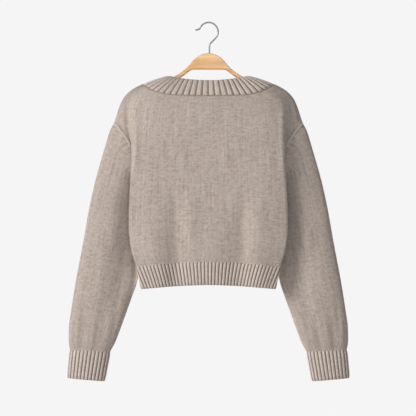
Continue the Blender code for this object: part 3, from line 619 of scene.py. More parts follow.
def rib_shares(count, ends=True, double=False):
    """Shares along a ribbed piece and how far each point is raised: a 2x2 rib has a flat top parted by a fine
    line, a 1x1 rib is one round ridge."""
    steps = RIB_POINTS * (2 if double else 1)
    shares, raised, places = [], [], []
    for rib in range(count):
        for step in range(steps):
            at = step / steps
            wave = 0.5 - 0.5 * math.cos(2 * math.pi * at)
            up = wave ** 0.8
            if double:
                up = ease(wave, 0.18, 0.72)
                up -= 0.32 * bump(at, 0.5, 0.035) + 0.16 * bump(at, 0.0, 0.03) + 0.16 * bump(at, 1.0, 0.03)
            shares.append((rib + at) / count)
            places.append(rib + at)
            raised.append(up)
    if ends:
        shares.append(1.0)
        places.append(count)
        raised.append(0.0)
    return np.array(shares), np.array(raised), np.array(places, dtype=float)


def ribbed(name, base, thick, raised, places, closed=False, double=False):
    """Rib knit: rounded ribs raised over a wall, a little flatter at its ends."""
    rows = len(base)
    height = np.array([0.55 + 0.45 * ease(min(r, rows - 1 - r), -0.5, 1.5) for r in range(rows)])
    outer = base - thick * RIB_RAISE * (raised[None, :] * height[:, None] - 0.12)[:, :, None]
    inner = base + thick * (RIB_WALL - 0.5 * raised[None, :, None] * 0.6)
    across = np.append(places, round(places[-1] + 0.5)) if closed else places
    material = MATERIALS["double_rib" if double else "rib"]
    return cloth_wall(name, outer, inner, material, closed=closed, rounded=0.6, across=across * RIB_UNIT)


def rows_between(first, last, count=RIB_ROWS, bulge=0.0, thick=None):
    shares = np.linspace(0, 1, count)[:, None, None]
    grid = first[None] * (1 - shares) + last[None] * shares
    if bulge:
        grid = grid - thick[None] * bulge * 4 * shares * (1 - shares)
    return grid


def neckband_back(panel, panel_thick):
    """Back neckband, standing on the panel's neck seam and leaning in to the neck edge."""
    shares, raised, places = rib_shares(NECK_RIBS, double=True)
    seam = along(panel[0], shares)
    seam_thick = unit(along(panel[0], shares, panel_thick[0]))
    angle = (shares - 0.5) * math.pi
    rise = np.abs(np.sin(angle)) ** 2.2
    away = np.abs(np.cos(angle)) ** 0.9
    edge = np.stack([NECK_CORNER_X * np.sin(angle), -SEAM_GAP / 2 - NECK_CENTRE_Y * away,
                     -NECK_CENTRE_DROP + (NECK_CENTRE_DROP - NECK_CORNER_DROP) * rise], axis=1)
    seam = seam + unit(edge - seam) * SEAM_GAP
    flat = np.stack([edge, (edge + seam) / 2, seam])
    lean = inward(flat)[1]
    base = rows_between(edge, seam, bulge=1.4, thick=lean)
    thick = inward(base)
    thick[-1] = seam_thick
    thick[:, [0, -1], 1] = 0
    return ribbed("neckband_back_knit", base, unit(thick), raised, places, double=True)


def front_edge_y(x, drop):
    """Distance of the front's outer surface from the middle plane at a place across."""
    keys = section_keys(drop)
    section = np.array([spline(keys, t) for t in np.linspace(0, 3.0, 61)])
    return float(np.interp(abs(x), section[:, 0], section[:, 1])) - fold_depth(FRONT_FOLDS, x, drop)


def seam_at(row, drop, values=None):
    """Point (or value) of a panel's edge at one drop."""
    values = row if values is None else values
    order = np.argsort(-row[:, 2])
    return np.array([np.interp(drop, -row[order, 2], values[order, axis]) for axis in range(3)])


def front_band(side, panel, panel_thick):
    """Front band: its seam follows the panel's edge, its other edge is the V and then the closing edge."""
    v_shares, v_raised, v_places = rib_shares(BAND_V_RIBS, ends=False, double=True)
    s_shares, s_raised, s_places = rib_shares(BAND_STRAIGHT_RIBS, double=True)
    raised = np.concatenate([v_raised, s_raised])
    places = np.concatenate([v_places, s_places + BAND_V_RIBS])
    seam_row = panel[:, 0].copy()
    first = np.array([[side * (NECK_SEAM["x"][-1] - 0.2), SEAM_GAP / 2, -SHOULDER_NECK_DROP + 0.4]])
    upper = -seam_row[:, 2] < V_POINT_DROP
    v_seam = np.concatenate([first, seam_row[upper], [seam_at(seam_row, V_POINT_DROP)]])
    v_thick = np.concatenate([panel_thick[:1, 0], panel_thick[upper, 0],
                              [seam_at(seam_row, V_POINT_DROP, panel_thick[:, 0])]])
    bottom_drop = arch(BAND_HALF, HEM_EDGE_DROP)
    low = []
    for drop in np.linspace(V_POINT_DROP, bottom_drop, 30):
        raised_by = lift(BAND_HALF, drop) if side > 0 else 0
        low.append((side * BAND_HALF, front_edge_y(side * BAND_HALF, drop) + raised_by, -drop))
    low = np.array(low)
    low_thick = np.tile([[0.0, -1.0, 0.0]], (len(low), 1))
    seam = np.concatenate([along(v_seam, v_shares), along(low, s_shares)])
    seam_thick = np.concatenate([along(v_seam, v_shares, v_thick), along(low, s_shares, low_thick)])
    drops = np.concatenate([V_EDGE["drop"][0] + (V_POINT_DROP - V_EDGE["drop"][0]) * v_shares ** 1.05,
                            V_POINT_DROP + (bottom_drop - V_POINT_DROP) * s_shares])
    edge = []
    for drop in drops:
        x, y = read(V_EDGE, "x", drop), read(V_EDGE, "y", drop)
        if drop > V_POINT_DROP - V_EDGE_SETTLES:
            settled = ease(drop, V_POINT_DROP - V_EDGE_SETTLES, V_POINT_DROP)
            y += (front_edge_y(side * x, drop) - y) * settled
        if side > 0:
            y += lift(0, drop)
        edge.append((side * x, max(y, SEAM_GAP / 2), -drop))
    edge = np.array(edge)
    seam = seam + unit(edge - seam) * SEAM_GAP
    base = rows_between(edge, seam)
    thick = inward(base, turn=side)
    thick[-1] = unit(seam_thick)
    thick[:, 0, 1] = 0
    return ribbed(f"band_{LABEL[side]}_knit", base, unit(thick), raised, places, double=True)


def hem(name, face, t_low, t_high, count):
    """Hem rib from one end of the section to the other."""
    shares, raised, places = rib_shares(count)
    rows = []
    for level in np.linspace(HEM_SEAM_DROP, HEM_EDGE_DROP, RIB_ROWS):
        line = []
        for t in np.linspace(t_low, t_high, SECTION_STEPS):
            x = body_point(level, t, face)[0]
            line.append(body_point(arch(x, level), t, face))
        rows.append(along(np.array(line), shares))
    base = np.stack(rows)
    thick = inward(base, turn=-face)
    for side in (0, -1):
        if abs(base[0, side, 1]) < 1:
            base[:, side, 1] = face * SEAM_GAP / 2
            thick[:, side, 1] = 0
    thick[:, :, 2] = 0
    return ribbed(name, base, unit(thick), raised, places)


def hem_front(side):
    """Hem rib of one front, from its band to the side line."""
    start = front_start(arch(BAND_HALF, HEM_EDGE_DROP)) + 0.004
    low, high = (start, SIDE_T) if side > 0 else (-SIDE_T, -start)
    return hem(f"hem_front_{LABEL[side]}_knit", 1, low, high, HEM_FRONT_RIBS)


# ---------------------------------------------------------------- sleeves

def oval(outer, inner, half_depth, shares_round):
    """Flat oval between an outer and an inner edge point, once round from the outer edge over the back."""
    angle = 2 * math.pi * np.asarray(shares_round)
    part = ((1 - np.cos(angle)) / 2)[:, None]
    depth = half_depth * np.abs(np.sin(angle)) ** OVAL_POWER * np.sign(np.sin(angle))
    spot = outer + (inner - outer) * part
    return np.stack([spot[:, 0], -depth, -spot[:, 1]], axis=1)


def sleeve_fold(share, drop, face, back):
    """Depth of the soft folds and creases at a share of the way from the sleeve's outer to its inner edge."""
    total = 0.0
    for centre, width, starts, depth in zip(*SLEEVE_FOLDS.values()):
        total += depth * bump(share, centre, width) * ease(drop, starts, SLEEVE_FOLDS_FULL_DROP)
    total *= 1 - ease(drop, SLEEVE_FOLDS_FULL_DROP, 690) * 0.6
    beside_body = ease(share, *SINK_ACROSS) * ease(drop, *SINK_STARTS) * (1 - ease(drop, *SINK_ENDS))
    total += SLEEVE_SINKS[back] * beside_body
    for centre, middle, drift, reach, width, depth in SLEEVE_CREASES:
        centre = centre + 0.04 * face + drift * (drop - middle) / reach
        total += depth * bump(share, centre, width) * bump(drop, middle, reach)
    return total


def sleeve(side, back, back_thick):
    """Sleeve tube, from the armhole seam to the cuff seam. Its first ring is the body's seam, moved off by
    the seam's gap."""
    _, first = side_drops()
    seam = back[first:first + ARMHOLE_STEPS + 1, -1].copy()
    seam[[0, -1], 1] = 0
    rings = [np.concatenate([seam, seam[-2:0:-1] * (1, -1, 1)])]
    shares = np.arange(2 * ARMHOLE_STEPS) / (2 * ARMHOLE_STEPS)
    stations = np.arange(len(SLEEVE_RINGS["outer"]), dtype=float)
    for at in finer(stations, 5):
        outer_drop, inner_drop, depth = (float(smooth(at, stations, SLEEVE_RINGS[key]))
                                         for key in ("outer", "inner", "depth"))
        outer = np.array([read(SLEEVE_OUTER, "x", outer_drop), outer_drop])
        inner = np.array([read(SLEEVE_INNER, "x", inner_drop), inner_drop])
        ring = oval(outer, inner, depth, shares)
        for point in ring:
            part = (point[0] - outer[0]) / (inner[0] - outer[0])
            away = sleeve_fold(part, -point[2], side * np.sign(point[1]), int(point[1] < 0))
            point[1] -= math.copysign(min(away, abs(point[1])), point[1])
        rings.append(ring)
    first_ring = rings[1]
    for share in (0.25, 0.5, 0.75):
        rings.insert(1, rings[0] * share + first_ring * (1 - share))
    grid = np.stack(rings)
    toward = unit(grid[1] - grid[0])
    for column in range(2 * ARMHOLE_STEPS):
        from_end = min(column % ARMHOLE_STEPS, -column % ARMHOLE_STEPS) * ARMHOLE_UNIT
        grid[0, column] += toward[column] * (SEAM_GAP + 0.1 + 0.3 * (1 - ease(from_end, 1.5, 4.0)))
    thick = inward(grid, closed=True, turn=-1)
    body_thick = back_thick[first:first + ARMHOLE_STEPS + 1, -1]
    body_thick = np.concatenate([body_thick, body_thick[-2:0:-1] * (1, -1, 1)])
    for column in range(2 * ARMHOLE_STEPS):
        own = ease(min(column, 2 * ARMHOLE_STEPS - column) * ARMHOLE_UNIT, 1.5, 5.0)
        thick[0, column] = body_thick[column] * (1 - own) + thick[0, column] * own
    grid[:, :, 0] *= side
    thick[:, :, 0] *= side
    axis = cuff_axis(side)
    thick[-1] = unit(thick[-1] - (thick[-1] @ axis)[:, None] * axis)
    thick[:, 0, 1] = 0
    thick[:, ARMHOLE_STEPS, 1] = 0
    return grid, unit(thick)


def cuff_axis(side):
    ends = CUFF["outer_x"] + CUFF["inner_x"], CUFF["outer_drop"] + CUFF["inner_drop"]
    return unit([side * (ends[0][1] - ends[0][0]), 0, -(ends[1][1] - ends[1][0])])


def cuff(side):
    """Cuff rib, a tube on the sleeve's last ring."""
    shares, raised, places = rib_shares(CUFF_RIBS, ends=False)
    rows = []
    for row, half_depth in ((0, SLEEVE_RINGS["depth"][-1]), (1, CUFF_HALF_DEPTH)):
        gap = SEAM_GAP if row == 0 else 0
        outer = np.array([CUFF["outer_x"][row], CUFF["outer_drop"][row] + gap])
        inner = np.array([CUFF["inner_x"][row], CUFF["inner_drop"][row] + gap])
        rows.append(along(oval(outer, inner, half_depth, np.linspace(0, 1, OVAL_STEPS)), shares))
    base = rows_between(rows[0], rows[1])
    thick = inward(base, closed=True, turn=-1)
    base[:, :, 0] *= side
    thick[:, :, 0] *= side
    axis = cuff_axis(side)
    thick = unit(thick - (thick @ axis)[:, :, None] * axis)
    return ribbed(f"cuff_{LABEL[side]}_knit", base, thick, raised, places, closed=True)


# ---------------------------------------------------------------- materials

class Nodes:
    """Short hand for laying out one node tree."""

    def __init__(self, tree):
        self.tree = tree

    def add(self, kind, **settings):
        node = self.tree.nodes.new("ShaderNode" + kind)
        for key, value in settings.items():
            setattr(node, key, value)
        return node

    def join(self, source, target):
        self.tree.links.new(source, target)

    def give(self, socket, value):
        """Joins another node's output to a socket, or sets its number, vector or colour."""
        if hasattr(value, "is_output"):
            self.join(value, socket)
        else:
            socket.default_value = value

    def feed(self, node, *values, **named_values):
        """Gives a node's first inputs and its named ones their values, and gives back its first output."""
        for socket, value in zip(node.inputs, values):
            self.give(socket, value)
        for label, value in named_values.items():
            self.give(node.inputs[label], value)
        return node.outputs[0]

    def math(self, operation, *values):
        return self.feed(self.add("Math", operation=operation), *values)

    def plus(self, *values):
        return self.math("ADD", *values)

    def less(self, *values):
        return self.math("SUBTRACT", *values)

    def times(self, *values):
        return self.math("MULTIPLY", *values)

    def remap(self, value, low, high, to_low=0.0, to_high=1.0, smooth_step=False):
        node = self.add("MapRange", interpolation_type="SMOOTHSTEP" if smooth_step else "LINEAR")
        return self.feed(node, value, low, high, to_low, to_high)

    def noise(self, place, scale, detail=2.0, roughness=0.5):
        return self.feed(self.add("TexNoise"), Vector=place, Scale=scale, Detail=detail, Roughness=roughness)

    def stretched(self, place, scale):
        return self.feed(self.add("Mapping"), Vector=place, Scale=scale)

    def mix(self, share, first, second, blend="MIX"):
        node = self.add("Mix", data_type="RGBA", blend_type=blend)
        for index, value in ((0, share), (6, first), (7, second)):
            self.give(node.inputs[index], value)
        return node.outputs[2]

    def body(self):
        """Place on the object, in metres."""
        return self.add("TexCoord").outputs["Object"]

    def group(self, tree, **given):
        node = self.add("Group", node_tree=tree)
        self.feed(node, **given)
        return node.outputs

    def relief(self, shader, height, strength, distance):
        bumps = self.feed(self.add("Bump"), Strength=strength, Distance=distance, Height=height)
        self.join(bumps, shader.inputs["Normal"])


def shared_group(name, takes, gives):
    """A node group: itself, its short hand, the sockets it reads from and the ones it fills."""
    group = bpy.data.node_groups.new(name, "ShaderNodeTree")
    for way, sockets in (("INPUT", takes), ("OUTPUT", gives)):
        for label, kind in sockets.items():
            group.interface.new_socket(label, in_out=way, socket_type="NodeSocket" + kind)
    given, result = group.nodes.new("NodeGroupInput"), group.nodes.new("NodeGroupOutput")
    return group, Nodes(group), given.outputs, result.inputs


def stitch_group():
    """Plain knit: two slanting legs in every column of stitches, so each row is a line of Vs. It gives the
    height of the yarn, a mask of the hollows between the legs for painted shade, and a tone for each stitch."""
    group, n, given, result = shared_group("knit_stitch", {"Across": "Float", "Up": "Float"},
                                           {"Height": "Float", "Hollow": "Float", "Tone": "Float"})
    aside = n.times(n.math("ABSOLUTE", n.less(n.math("FRACT", given["Across"]), 0.5)), 2.0)
    lifted = n.less(given["Up"], n.times(aside, 0.9))
    from_leg = n.math("ABSOLUTE", n.less(n.times(aside, 2.0), 1.0))
    width = n.math("MAXIMUM", n.less(1.0, n.math("POWER", from_leg, 2.2)), 0.0)
    length = n.math("POWER", n.math("SINE", n.times(n.math("FRACT", lifted), math.pi)), 0.8)
    height = n.times(n.math("SQRT", width), n.plus(0.42, n.times(length, 0.58)))
    n.join(height, result["Height"])
    n.join(n.remap(height, 0.18, 0.62, 1.0, 0.0, True), result["Hollow"])
    cell = n.feed(n.add("CombineXYZ"), n.math("FLOOR", given["Across"]), n.math("FLOOR", lifted))
    white = n.add("TexWhiteNoise")
    n.join(cell, white.inputs["Vector"])
    n.join(white.outputs["Value"], result["Tone"])
    return group


def marl_group():
    """Wool spun from fawn, oatmeal and brown fibres: fine flecks along the yarn, rows a little lighter or
    darker than their neighbours, and a soft unevenness."""
    group, n, given, result = shared_group("marl_wool", {"Map": "Vector", "Body": "Vector", "Tone": "Float"},
                                           {"Color": "Color", "Fuzz": "Float"})
    fleck = n.noise(n.stretched(given["Map"], (1.0, 0.55, 1.0)), 900.0, 2.0, 0.62)
    rows = n.noise(n.stretched(given["Map"], (0.16, 1.0, 1.0)), 290.0, 1.0, 0.5)
    columns = n.noise(n.stretched(given["Map"], (1.0, 0.05, 1.0)), 230.0, 1.0, 0.5)
    cloud = n.noise(given["Body"], 16.0, 2.0, 0.5)
    dark, middle, light = WOOL
    mixed = n.plus(n.times(fleck, 0.50), n.times(given["Tone"], 0.12))
    mixed = n.plus(mixed, n.plus(n.times(rows, 0.20), n.times(columns, 0.22)))
    shade = n.mix(n.remap(mixed, 0.36, 0.52), dark, middle)
    shade = n.mix(n.remap(mixed, 0.52, 0.70), shade, light)
    tone = n.remap(cloud, 0.3, 0.7, 0.97, 1.03)
    level = n.feed(n.add("CombineColor"), tone, tone, tone)
    n.join(n.mix(1.0, shade, level, "MULTIPLY"), result["Color"])
    n.join(n.noise(given["Body"], 1500.0, 2.0, 0.7), result["Fuzz"])
    return group


def start_material(name, **settings):
    """A material: itself, its short hand and its shader, with some of the shader's inputs set."""
    material = bpy.data.materials.new(name)
    material.use_nodes = True
    tree = material.node_tree
    shader = next(node for node in tree.nodes if node.type == "BSDF_PRINCIPLED")
    for key, value in settings.items():
        shader.inputs[key.replace("_", " ").title().replace("Ior", "IOR")].default_value = value
    return material, Nodes(tree), shader


def knit_material(name, ribs, depth, hollow):
    """Knitted wool: marl colour, painted shade between the legs of the stitches and down the valleys of a
    rib, a painted highlight on the crests of a rib, raised yarn and a soft bloom of fibres. ribs is the
    number of columns of stitches on a rib, or 0 for plain knit."""
    material, n, shader = start_material(name, roughness=0.94, sheen_weight=0.22, sheen_roughness=0.55,
                                         sheen_tint=BLOOM_TINT, specular_ior_level=0.18)
    place = n.add("UVMap", uv_map="stitches").outputs[0]
    split = n.add("SeparateXYZ")
    n.join(place, split.inputs[0])
    drift = n.times(n.less(n.noise(place, 90.0, 1.0), 0.5), 0.5)
    up = n.plus(n.math("DIVIDE", split.outputs[1], COURSE), drift)
    if ribs:
        rib_at = n.math("DIVIDE", split.outputs[0], RIB_UNIT * MM)
        off = n.less(n.math("FRACT", rib_at), 0.5)
        half = RIB_HALF[ribs]
        across = n.plus(n.math("DIVIDE", off, 2 * half / ribs), 0.5 if ribs == 1 else 0.0)
        across = n.plus(across, n.times(n.math("FLOOR", rib_at), 7.0))
        valley = n.remap(n.math("ABSOLUTE", off), half - 0.06, half + 0.10, 0.0, 1.0, True)
    else:
        wander = n.times(n.less(n.noise(place, 60.0, 1.0), 0.5), 0.4)
        across = n.plus(n.math("DIVIDE", split.outputs[0], WALE), wander)
    knit = n.group(STITCHES, Across=across, Up=up)
    wool = n.group(MARL, Map=place, Body=n.body(), Tone=knit["Tone"])
    height, plain = knit["Height"], wool["Color"]
    # Painted shade: the hollows between the legs of the stitches are mixed toward a dark brown
    painted_shade = n.times(knit["Hollow"], hollow)
    if ribs:
        raised = n.less(1.0, valley)
        # Painted highlight: the crest of a rib is mixed toward the light fibre colour by the height of its
        # yarn
        plain = n.mix(n.times(raised, n.times(height, 0.55)), plain, WOOL[2])
        height = n.times(height, raised)
        # Painted shade down the valley of a rib
        painted_shade = n.math("MAXIMUM", n.times(painted_shade, raised), n.times(valley, VALLEY_PAINTED_SHADE[ribs]))
    n.join(n.mix(painted_shade, plain, HOLLOW_PAINTED_SHADE), shader.inputs["Base Color"])
    n.relief(shader, n.plus(height, n.times(wool["Fuzz"], 0.35)), 1.0, depth)
    return material


def wood_material():
    """Pale varnished wood, its grain running along the hanger."""
    material, n, shader = start_material("varnished_wood", roughness=0.34, coat_weight=0.35,
                                         coat_roughness=0.18)
    body = n.body()
    rings = n.noise(n.stretched(body, (3.0, 40.0, 75.0)), 1.6, 4.0, 0.6)
    pores = n.noise(n.stretched(body, (18.0, 320.0, 420.0)), 3.2, 2.0, 0.6)
    shade = n.mix(n.remap(rings, 0.35, 0.68), WOOD_DARK, WOOD_PALE)
    shade = n.mix(n.remap(pores, 0.56, 0.74, 0.0, 0.6), shade, WOOD_PORE)
    n.join(shade, shader.inputs["Base Color"])
    n.join(n.remap(pores, 0.3, 0.7, 0.28, 0.42), shader.inputs["Roughness"])
    n.relief(shader, pores, 0.25, 0.0003)
    return material


def steel_material():
    """Bright wire, rubbed here and there."""
    material, n, shader = start_material("bright_steel", roughness=0.24, metallic=1.0, base_color=STEEL)
    rub = n.noise(n.body(), 900.0, 2.0, 0.6)
    n.join(n.remap(rub, 0.3, 0.7, 0.36, 0.50), shader.inputs["Roughness"])
    return material


def button_material():
    """Horn-like brown, softly streaked."""
    material, n, shader = start_material("button_horn", roughness=0.32)
    streak = n.noise(n.stretched(n.body(), (120.0, 90.0, 45.0)), 2.0, 3.0, 0.6)
    n.join(n.mix(n.remap(streak, 0.32, 0.68), HORN_DARK, HORN_PALE), shader.inputs["Base Color"])
    n.join(n.remap(streak, 0.3, 0.7, 0.26, 0.42), shader.inputs["Roughness"])
    return material


def thread_material(name, colour):
    """Twisted yarn, with painted shade between its strands."""
    material, n, shader = start_material(name, roughness=0.9, sheen_weight=0.2)
    twist = n.noise(n.body(), 1400.0, 1.0, 0.5)
    # Painted shade between the strands: a darker copy of the colour, mixed in by a fine noise
    painted_strand_shade = tuple(part * 0.62 for part in colour[:3]) + (1.0,)
    n.join(n.mix(n.remap(twist, 0.35, 0.65), painted_strand_shade, colour), shader.inputs["Base Color"])
    return material


STITCHES, MARL = stitch_group(), marl_group()
MATERIALS = {
    "knit": knit_material("wool_plain_knit", 0, 0.0013, 0.56),
    "rib": knit_material("wool_single_rib", 1, 0.0008, 0.55),
    "double_rib": knit_material("wool_double_rib", 2, 0.0010, 0.80),
    "wood": wood_material(),
    "steel": steel_material(),
    "button": button_material(),
    "thread": thread_material("seam_yarn", SEAM_YARN),
    # Welt yarn paler than the wool: a painted highlight on the seam ridge
    "welt": thread_material("welt_yarn_painted_highlight", WELT_YARN_PAINTED_HIGHLIGHT),
    "button_thread": thread_material("button_thread", BUTTON_YARN),
}


# ---------------------------------------------------------------- hard pieces

def select_faces(item, wanted):
    """Selects the faces that `wanted` says yes to, and goes into edit mode."""
    select_only(item)
    bpy.ops.object.mode_set(mode="EDIT")
    bpy.ops.mesh.select_all(action="DESELECT")
    bpy.ops.object.mode_set(mode="OBJECT")
    for face in item.data.polygons:
        face.select = wanted(face)
    bpy.ops.object.mode_set(mode="EDIT")


def settle(item):
    """Puts the object's place into its mesh."""
    select_only(item)
    bpy.ops.object.transform_apply(location=True, rotation=True, scale=True)
    return item


def apply_all(item):
    select_only(item)
    for modifier in list(item.modifiers):
        bpy.ops.object.modifier_apply(modifier=modifier.name)


def to_mesh(item):
    select_only(item)
    bpy.ops.object.convert(target="MESH")
    return bpy.context.object


def smooth_below(item, degrees):
    """Smooth shading, with edges kept where the surface turns more sharply than this."""
    select_only(item)
    bpy.ops.object.shade_smooth_by_angle(angle=math.radians(degrees))
    return item


def drill(item, places, radius, depth, turned=0):
    """Round holes through a piece at places across and up, in mm: down into it, or turned by some degrees."""
    for x, z in places:
        bpy.ops.object.select_all(action="DESELECT")
        bpy.ops.mesh.primitive_cylinder_add(vertices=16, radius=radius * MM, depth=depth * MM,
                                            location=(x * MM, 0, z * MM),
                                            rotation=(math.radians(turned), 0, 0))
        cutter = bpy.context.object
        cut = item.modifiers.new("hole", "BOOLEAN")
        cut.operation = "DIFFERENCE"
        cut.object = cutter
        cut.solver = "EXACT"
        apply_all(item)
        bpy.data.objects.remove(cutter)


def wire(name, lines, radius, material, around=2):
    """Round wires or yarns along lines of points in mm, as one mesh."""
    curve = bpy.data.curves.new(name, "CURVE")
    curve.dimensions = "3D"
    curve.bevel_depth = radius * MM
    curve.bevel_resolution = around
    curve.use_fill_caps = True
    for line in lines:
        run = curve.splines.new("POLY")
        run.points.add(len(line) - 1)
        for point, place in zip(run.points, np.asarray(line, dtype=float) * MM):
            point.co = (*place, 1)
    item = to_mesh(new_object(name, curve))
    item.data.materials.clear()
    item.data.materials.append(material)
    return smooth_below(item, 50)


def hanger():
    """Flat wooden hanger: its outline as a flat curve given depth, thinned towards its tips, and drilled."""
    half = np.stack([WOOD[key] for key in ("x", "top", "bottom", "thick")])
    at, *edges = np.concatenate([half[:, :0:-1] * [[-1], [1], [1], [1]], half], axis=1)
    xs = finer(at, 5)
    top, bottom, thick = (smooth(xs, at, edge) for edge in edges)
    curve = bpy.data.curves.new("hanger_wood", "CURVE")
    curve.dimensions = "2D"
    curve.fill_mode = "BOTH"
    curve.bevel_depth = WOOD_ROUND * MM
    curve.bevel_resolution = 4
    curve.extrude = (float(max(thick)) - WOOD_ROUND) * MM
    outline = [(x, -(drop + WOOD_ROUND)) for x, drop in zip(xs, top)]
    outline += [(x, -(drop - WOOD_ROUND)) for x, drop in zip(xs[::-1], bottom[::-1])]
    run = curve.splines.new("POLY")
    run.points.add(len(outline) - 1)
    for point, (x, z) in zip(run.points, outline):
        point.co = (x * MM, z * MM, 0, 1)
    run.use_cyclic_u = True
    item = new_object("hanger_wood", curve)
    item.rotation_euler = (math.radians(90), 0, 0)
    item = settle(to_mesh(item))
    for corner in item.data.vertices:
        corner.co.y *= float(np.interp(corner.co.x / MM, xs, thick)) / float(max(thick))
    item.data.materials.append(MATERIALS["wood"])
    drill(item, [(SHANK_X, -WOOD_TOP_DROP)], WIRE_RADIUS + 0.4, 2 * SHANK_DEPTH)
    return smooth_below(item, 35)


def hook():
    """Bent wire, from the flared tip over the crown and down into the wood."""
    centre_drop = HOOK_RADIUS - WIRE_RADIUS
    path = list(HOOK_TIP)
    for step in range(61):
        angle = math.radians(160 - 202 * step / 60)
        path.append((HOOK_CENTRE_X + HOOK_RADIUS * math.cos(angle),
                     -centre_drop + HOOK_RADIUS * math.sin(angle)))
    path += HOOK_NECK
    return wire("hook_wire", [[(x, 0, z) for x, z in path]], WIRE_RADIUS, MATERIALS["steel"], around=5)


def button_form():
    """One button: a rimmed round with four holes, its back on y = 0."""
    bpy.ops.object.select_all(action="DESELECT")
    bpy.ops.mesh.primitive_cylinder_add(vertices=48, radius=BUTTON_RADIUS * MM, depth=BUTTON_THICK * MM,
                                        location=(0, 0, BUTTON_THICK / 2 * MM))
    form = settle(bpy.context.object)
    select_faces(form, lambda face: face.normal.z > 0.9)
    bpy.ops.mesh.inset(thickness=BUTTON_RIM * MM)
    bpy.ops.mesh.inset(thickness=BUTTON_STEP * MM)
    bpy.ops.transform.translate(value=(0, 0, -BUTTON_DISH * MM))
    bpy.ops.object.mode_set(mode="OBJECT")
    select_faces(form, lambda face: face.normal.z < -0.9)
    bpy.ops.mesh.inset(thickness=1.2 * MM)
    bpy.ops.object.mode_set(mode="OBJECT")
    bevel = form.modifiers.new("soft_rim", "BEVEL")
    bevel.width = BUTTON_SOFT * MM
    bevel.segments = 3
    bevel.limit_method = "ANGLE"
    bevel.angle_limit = math.radians(30)
    apply_all(form)
    form.rotation_euler = (math.radians(-90), 0, 0)
    settle(form)
    off = BUTTON_HOLE_OFF
    drill(form, ((-off, -off), (off, -off), (-off, off), (off, off)), BUTTON_HOLE_RADIUS, 14, turned=90)
    form.data.materials.clear()
    form.data.materials.append(MATERIALS["button"])
    return smooth_below(form, 35)


def piece(item, node):
    """The piece that stands in for one node of the frame."""
    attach(item, "root")
    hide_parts(node)


def trim(item):
    """A piece that the frame has no node for."""
    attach(item, "root")


def buttons():
    """Five buttons on the closing band, the thread through their holes, and the buttonholes round them."""
    form = button_form()
    threads, slits = [], []
    for number, drop in enumerate(BUTTON_DROPS, start=1):
        y = front_edge_y(0, drop) + lift(0, drop) + RIB_RAISE
        item = new_object(f"button_{number}_horn", form.data.copy())
        item.location = (0, (y + BUTTON_GAP) * MM, -drop * MM)
        piece(settle(item), f"button_{number}")
        face = y + BUTTON_GAP + 2.3
        loop = ((-2.6, -BUTTON_HOLE_OFF), (0.15, -1.2), (0.3, 0), (0.15, 1.2), (-2.6, BUTTON_HOLE_OFF))
        threads += [[(x, face + out, -drop + up) for out, up in loop]
                    for x in (-BUTTON_HOLE_OFF, BUTTON_HOLE_OFF)]
        around = np.linspace(0, 2 * math.pi, 25)
        slits.append([(BUTTONHOLE_HALF * math.copysign(abs(math.cos(a)) ** 0.6, math.cos(a)), y - 0.1,
                       -drop + 1.5 * math.sin(a)) for a in around])
    bpy.data.objects.remove(form)
    trim(wire("button_threads", threads, 0.55, MATERIALS["button_thread"]))
    trim(wire("buttonhole_edges", slits, 0.6, MATERIALS["thread"]))


# ---------------------------------------------------------------- seams

def linking(name, lines, material, pitch=4.0, long=2.8, lean=0.45, radius=0.7, sink=0.3):
    """Row of short slanting stitches along each seam line: its points and the wall directions there."""
    stitches = []
    for points, thick in lines:
        run = lengths(points)
        count = max(int(run[-1] / pitch), 2)
        shares = (np.arange(3, count - 3) + 0.5) / count
        spots, walls = along(points, shares), unit(along(points, shares, thick))
        toward = unit(np.gradient(spots, axis=0))
        aside = np.cross(toward, walls)
        reach = unit(toward + aside * lean) * long / 2
        for spot, wall_way, half in zip(spots, walls, reach):
            place = spot + wall_way * sink
            stitches.append([place - half, place - wall_way * 0.35, place + half])
    trim(wire(name, stitches, radius, material, around=1))


def welt(points, thick, beside, over=2.1, rise=0.5):
    """Line beside a seam edge, moved towards the rest of its panel and lifted off the cloth a little."""
    return points + unit(beside - points) * over - thick * rise


# ---------------------------------------------------------------- the whole

def keep_below(item, drop):
    """Presses a narrow corner down to a drop, so that it doesn't stand above the seam beside it."""
    for corner in item.data.vertices:
        corner.co.z = min(corner.co.z, -drop * MM)


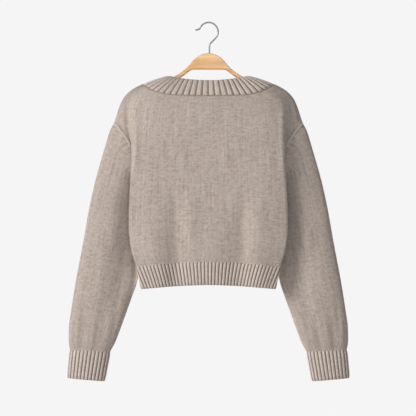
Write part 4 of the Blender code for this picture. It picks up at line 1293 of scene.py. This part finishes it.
def body_pieces():
    back, back_thick = back_panel()
    _, first = side_drops()
    last = first + ARMHOLE_STEPS + 1
    knit = MATERIALS["knit"]
    items = {}
    neck, hems, cuffs, welts, arms = [(back[0], back_thick[0])], [(back[-1], back_thick[-1])], [], [], []

    def plain(node, grid, thick, closed=False):
        items[node] = cloth_wall(f"{node}_knit", grid, grid + thick * JERSEY_WALL, knit, closed=closed)

    def armhole(grid, thick, column, beside):
        line, walls = grid[first:last, column], thick[first:last, column]
        arms.append((line, walls))
        welts.append(welt(line, walls, grid[first:last, beside]))

    plain("back", back, back_thick)
    items["hem_back"] = hem("hem_back_knit", -1, -SIDE_T, SIDE_T, HEM_BACK_RIBS)
    items["neckband_back"] = neckband_back(back, back_thick)
    armhole(back, back_thick, 0, 1)
    armhole(back, back_thick, -1, -2)
    for side, label in LABEL.items():
        panel, panel_thick = front_panel(side)
        plain(f"front_{label}", panel, panel_thick)
        keep_below(items[f"front_{label}"], SHOULDER_NECK_DROP)
        items[f"band_{label}"] = front_band(side, panel, panel_thick)
        items[f"hem_front_{label}"] = hem_front(side)
        tube, tube_thick = sleeve(side, back, back_thick)
        plain(f"sleeve_{label}", tube, tube_thick, closed=True)
        items[f"cuff_{label}"] = cuff(side)
        neck.append((panel[:, 0], panel_thick[:, 0]))
        hems.append((panel[-1], panel_thick[-1]))
        cuffs.append(tuple(np.concatenate([grid[-1], grid[-1, :1]]) for grid in (tube, tube_thick)))
        armhole(panel, panel_thick, -1, -2)
    for node, item in items.items():
        piece(item, node)
    linking("band_linking", neck, MATERIALS["thread"])
    linking("hem_linking", hems, MATERIALS["welt"], radius=0.5)
    linking("cuff_linking", cuffs, MATERIALS["welt"], radius=0.5)
    linking("armhole_linking", arms, MATERIALS["thread"], pitch=3.4, radius=0.6, sink=0.1)
    trim(wire("armhole_welts", welts, 1.0, MATERIALS["welt"]))
    return items


items = body_pieces()
piece(hanger(), "hanger")
piece(hook(), "hook")
buttons()


# ---------------------------------------------------------------- light, camera, floor

def area_light(name, energy, place, look_at, size, colour):
    lamp = bpy.data.lights.new(name, "AREA")
    lamp.shape = "RECTANGLE"
    lamp.size, lamp.size_y = size
    lamp.energy = energy
    lamp.color = colour
    item = new_object(name, lamp)
    item.location = place
    item.rotation_euler = (Vector(look_at) - Vector(place)).to_track_quat("-Z", "Y").to_euler()


def lay_stage():
    """Pale floor far below, the lights, and a world that is brighter to the camera than it lights."""
    bpy.ops.object.select_all(action="DESELECT")
    bpy.ops.mesh.primitive_plane_add(size=7, location=(0, 0, FLOOR_Z))
    floor = bpy.context.object
    floor.name = "studio_floor"
    floor.data.materials.append(start_material("studio_pale", base_color=FLOOR_PALE, roughness=0.9)[0])
    world = bpy.data.worlds.new("studio")
    bpy.context.scene.world = world
    world.use_nodes = True
    n = Nodes(world.node_tree)
    back = next(node for node in world.node_tree.nodes if node.type == "BACKGROUND")
    to_camera = n.add("LightPath").outputs["Is Camera Ray"]
    n.join(n.remap(to_camera, 0.0, 1.0, WORLD_LIGHT, 1.0), back.inputs["Strength"])
    back.inputs["Color"].default_value = BACKDROP
    for name, settings in LIGHTS.items():
        area_light(name, *settings)


def set_camera():
    lens = bpy.data.cameras.new("camera")
    lens.sensor_width = SENSOR
    lens.lens = SENSOR * CAMERA_AWAY / PICTURE_WIDE
    lens.clip_end = 30
    camera = new_object("camera", lens)
    camera.location = CAMERA_AT
    camera.rotation_euler = (math.radians(90), 0, 0)
    scene = bpy.context.scene
    scene.camera = camera
    scene.render.resolution_x = scene.render.resolution_y = PICTURE_PIXELS
    scene.view_settings.view_transform = "Standard"
    scene.view_settings.look = "None"
    scene.view_settings.exposure = 0.0


lay_stage()
set_camera()
bpy.context.view_layer.update()
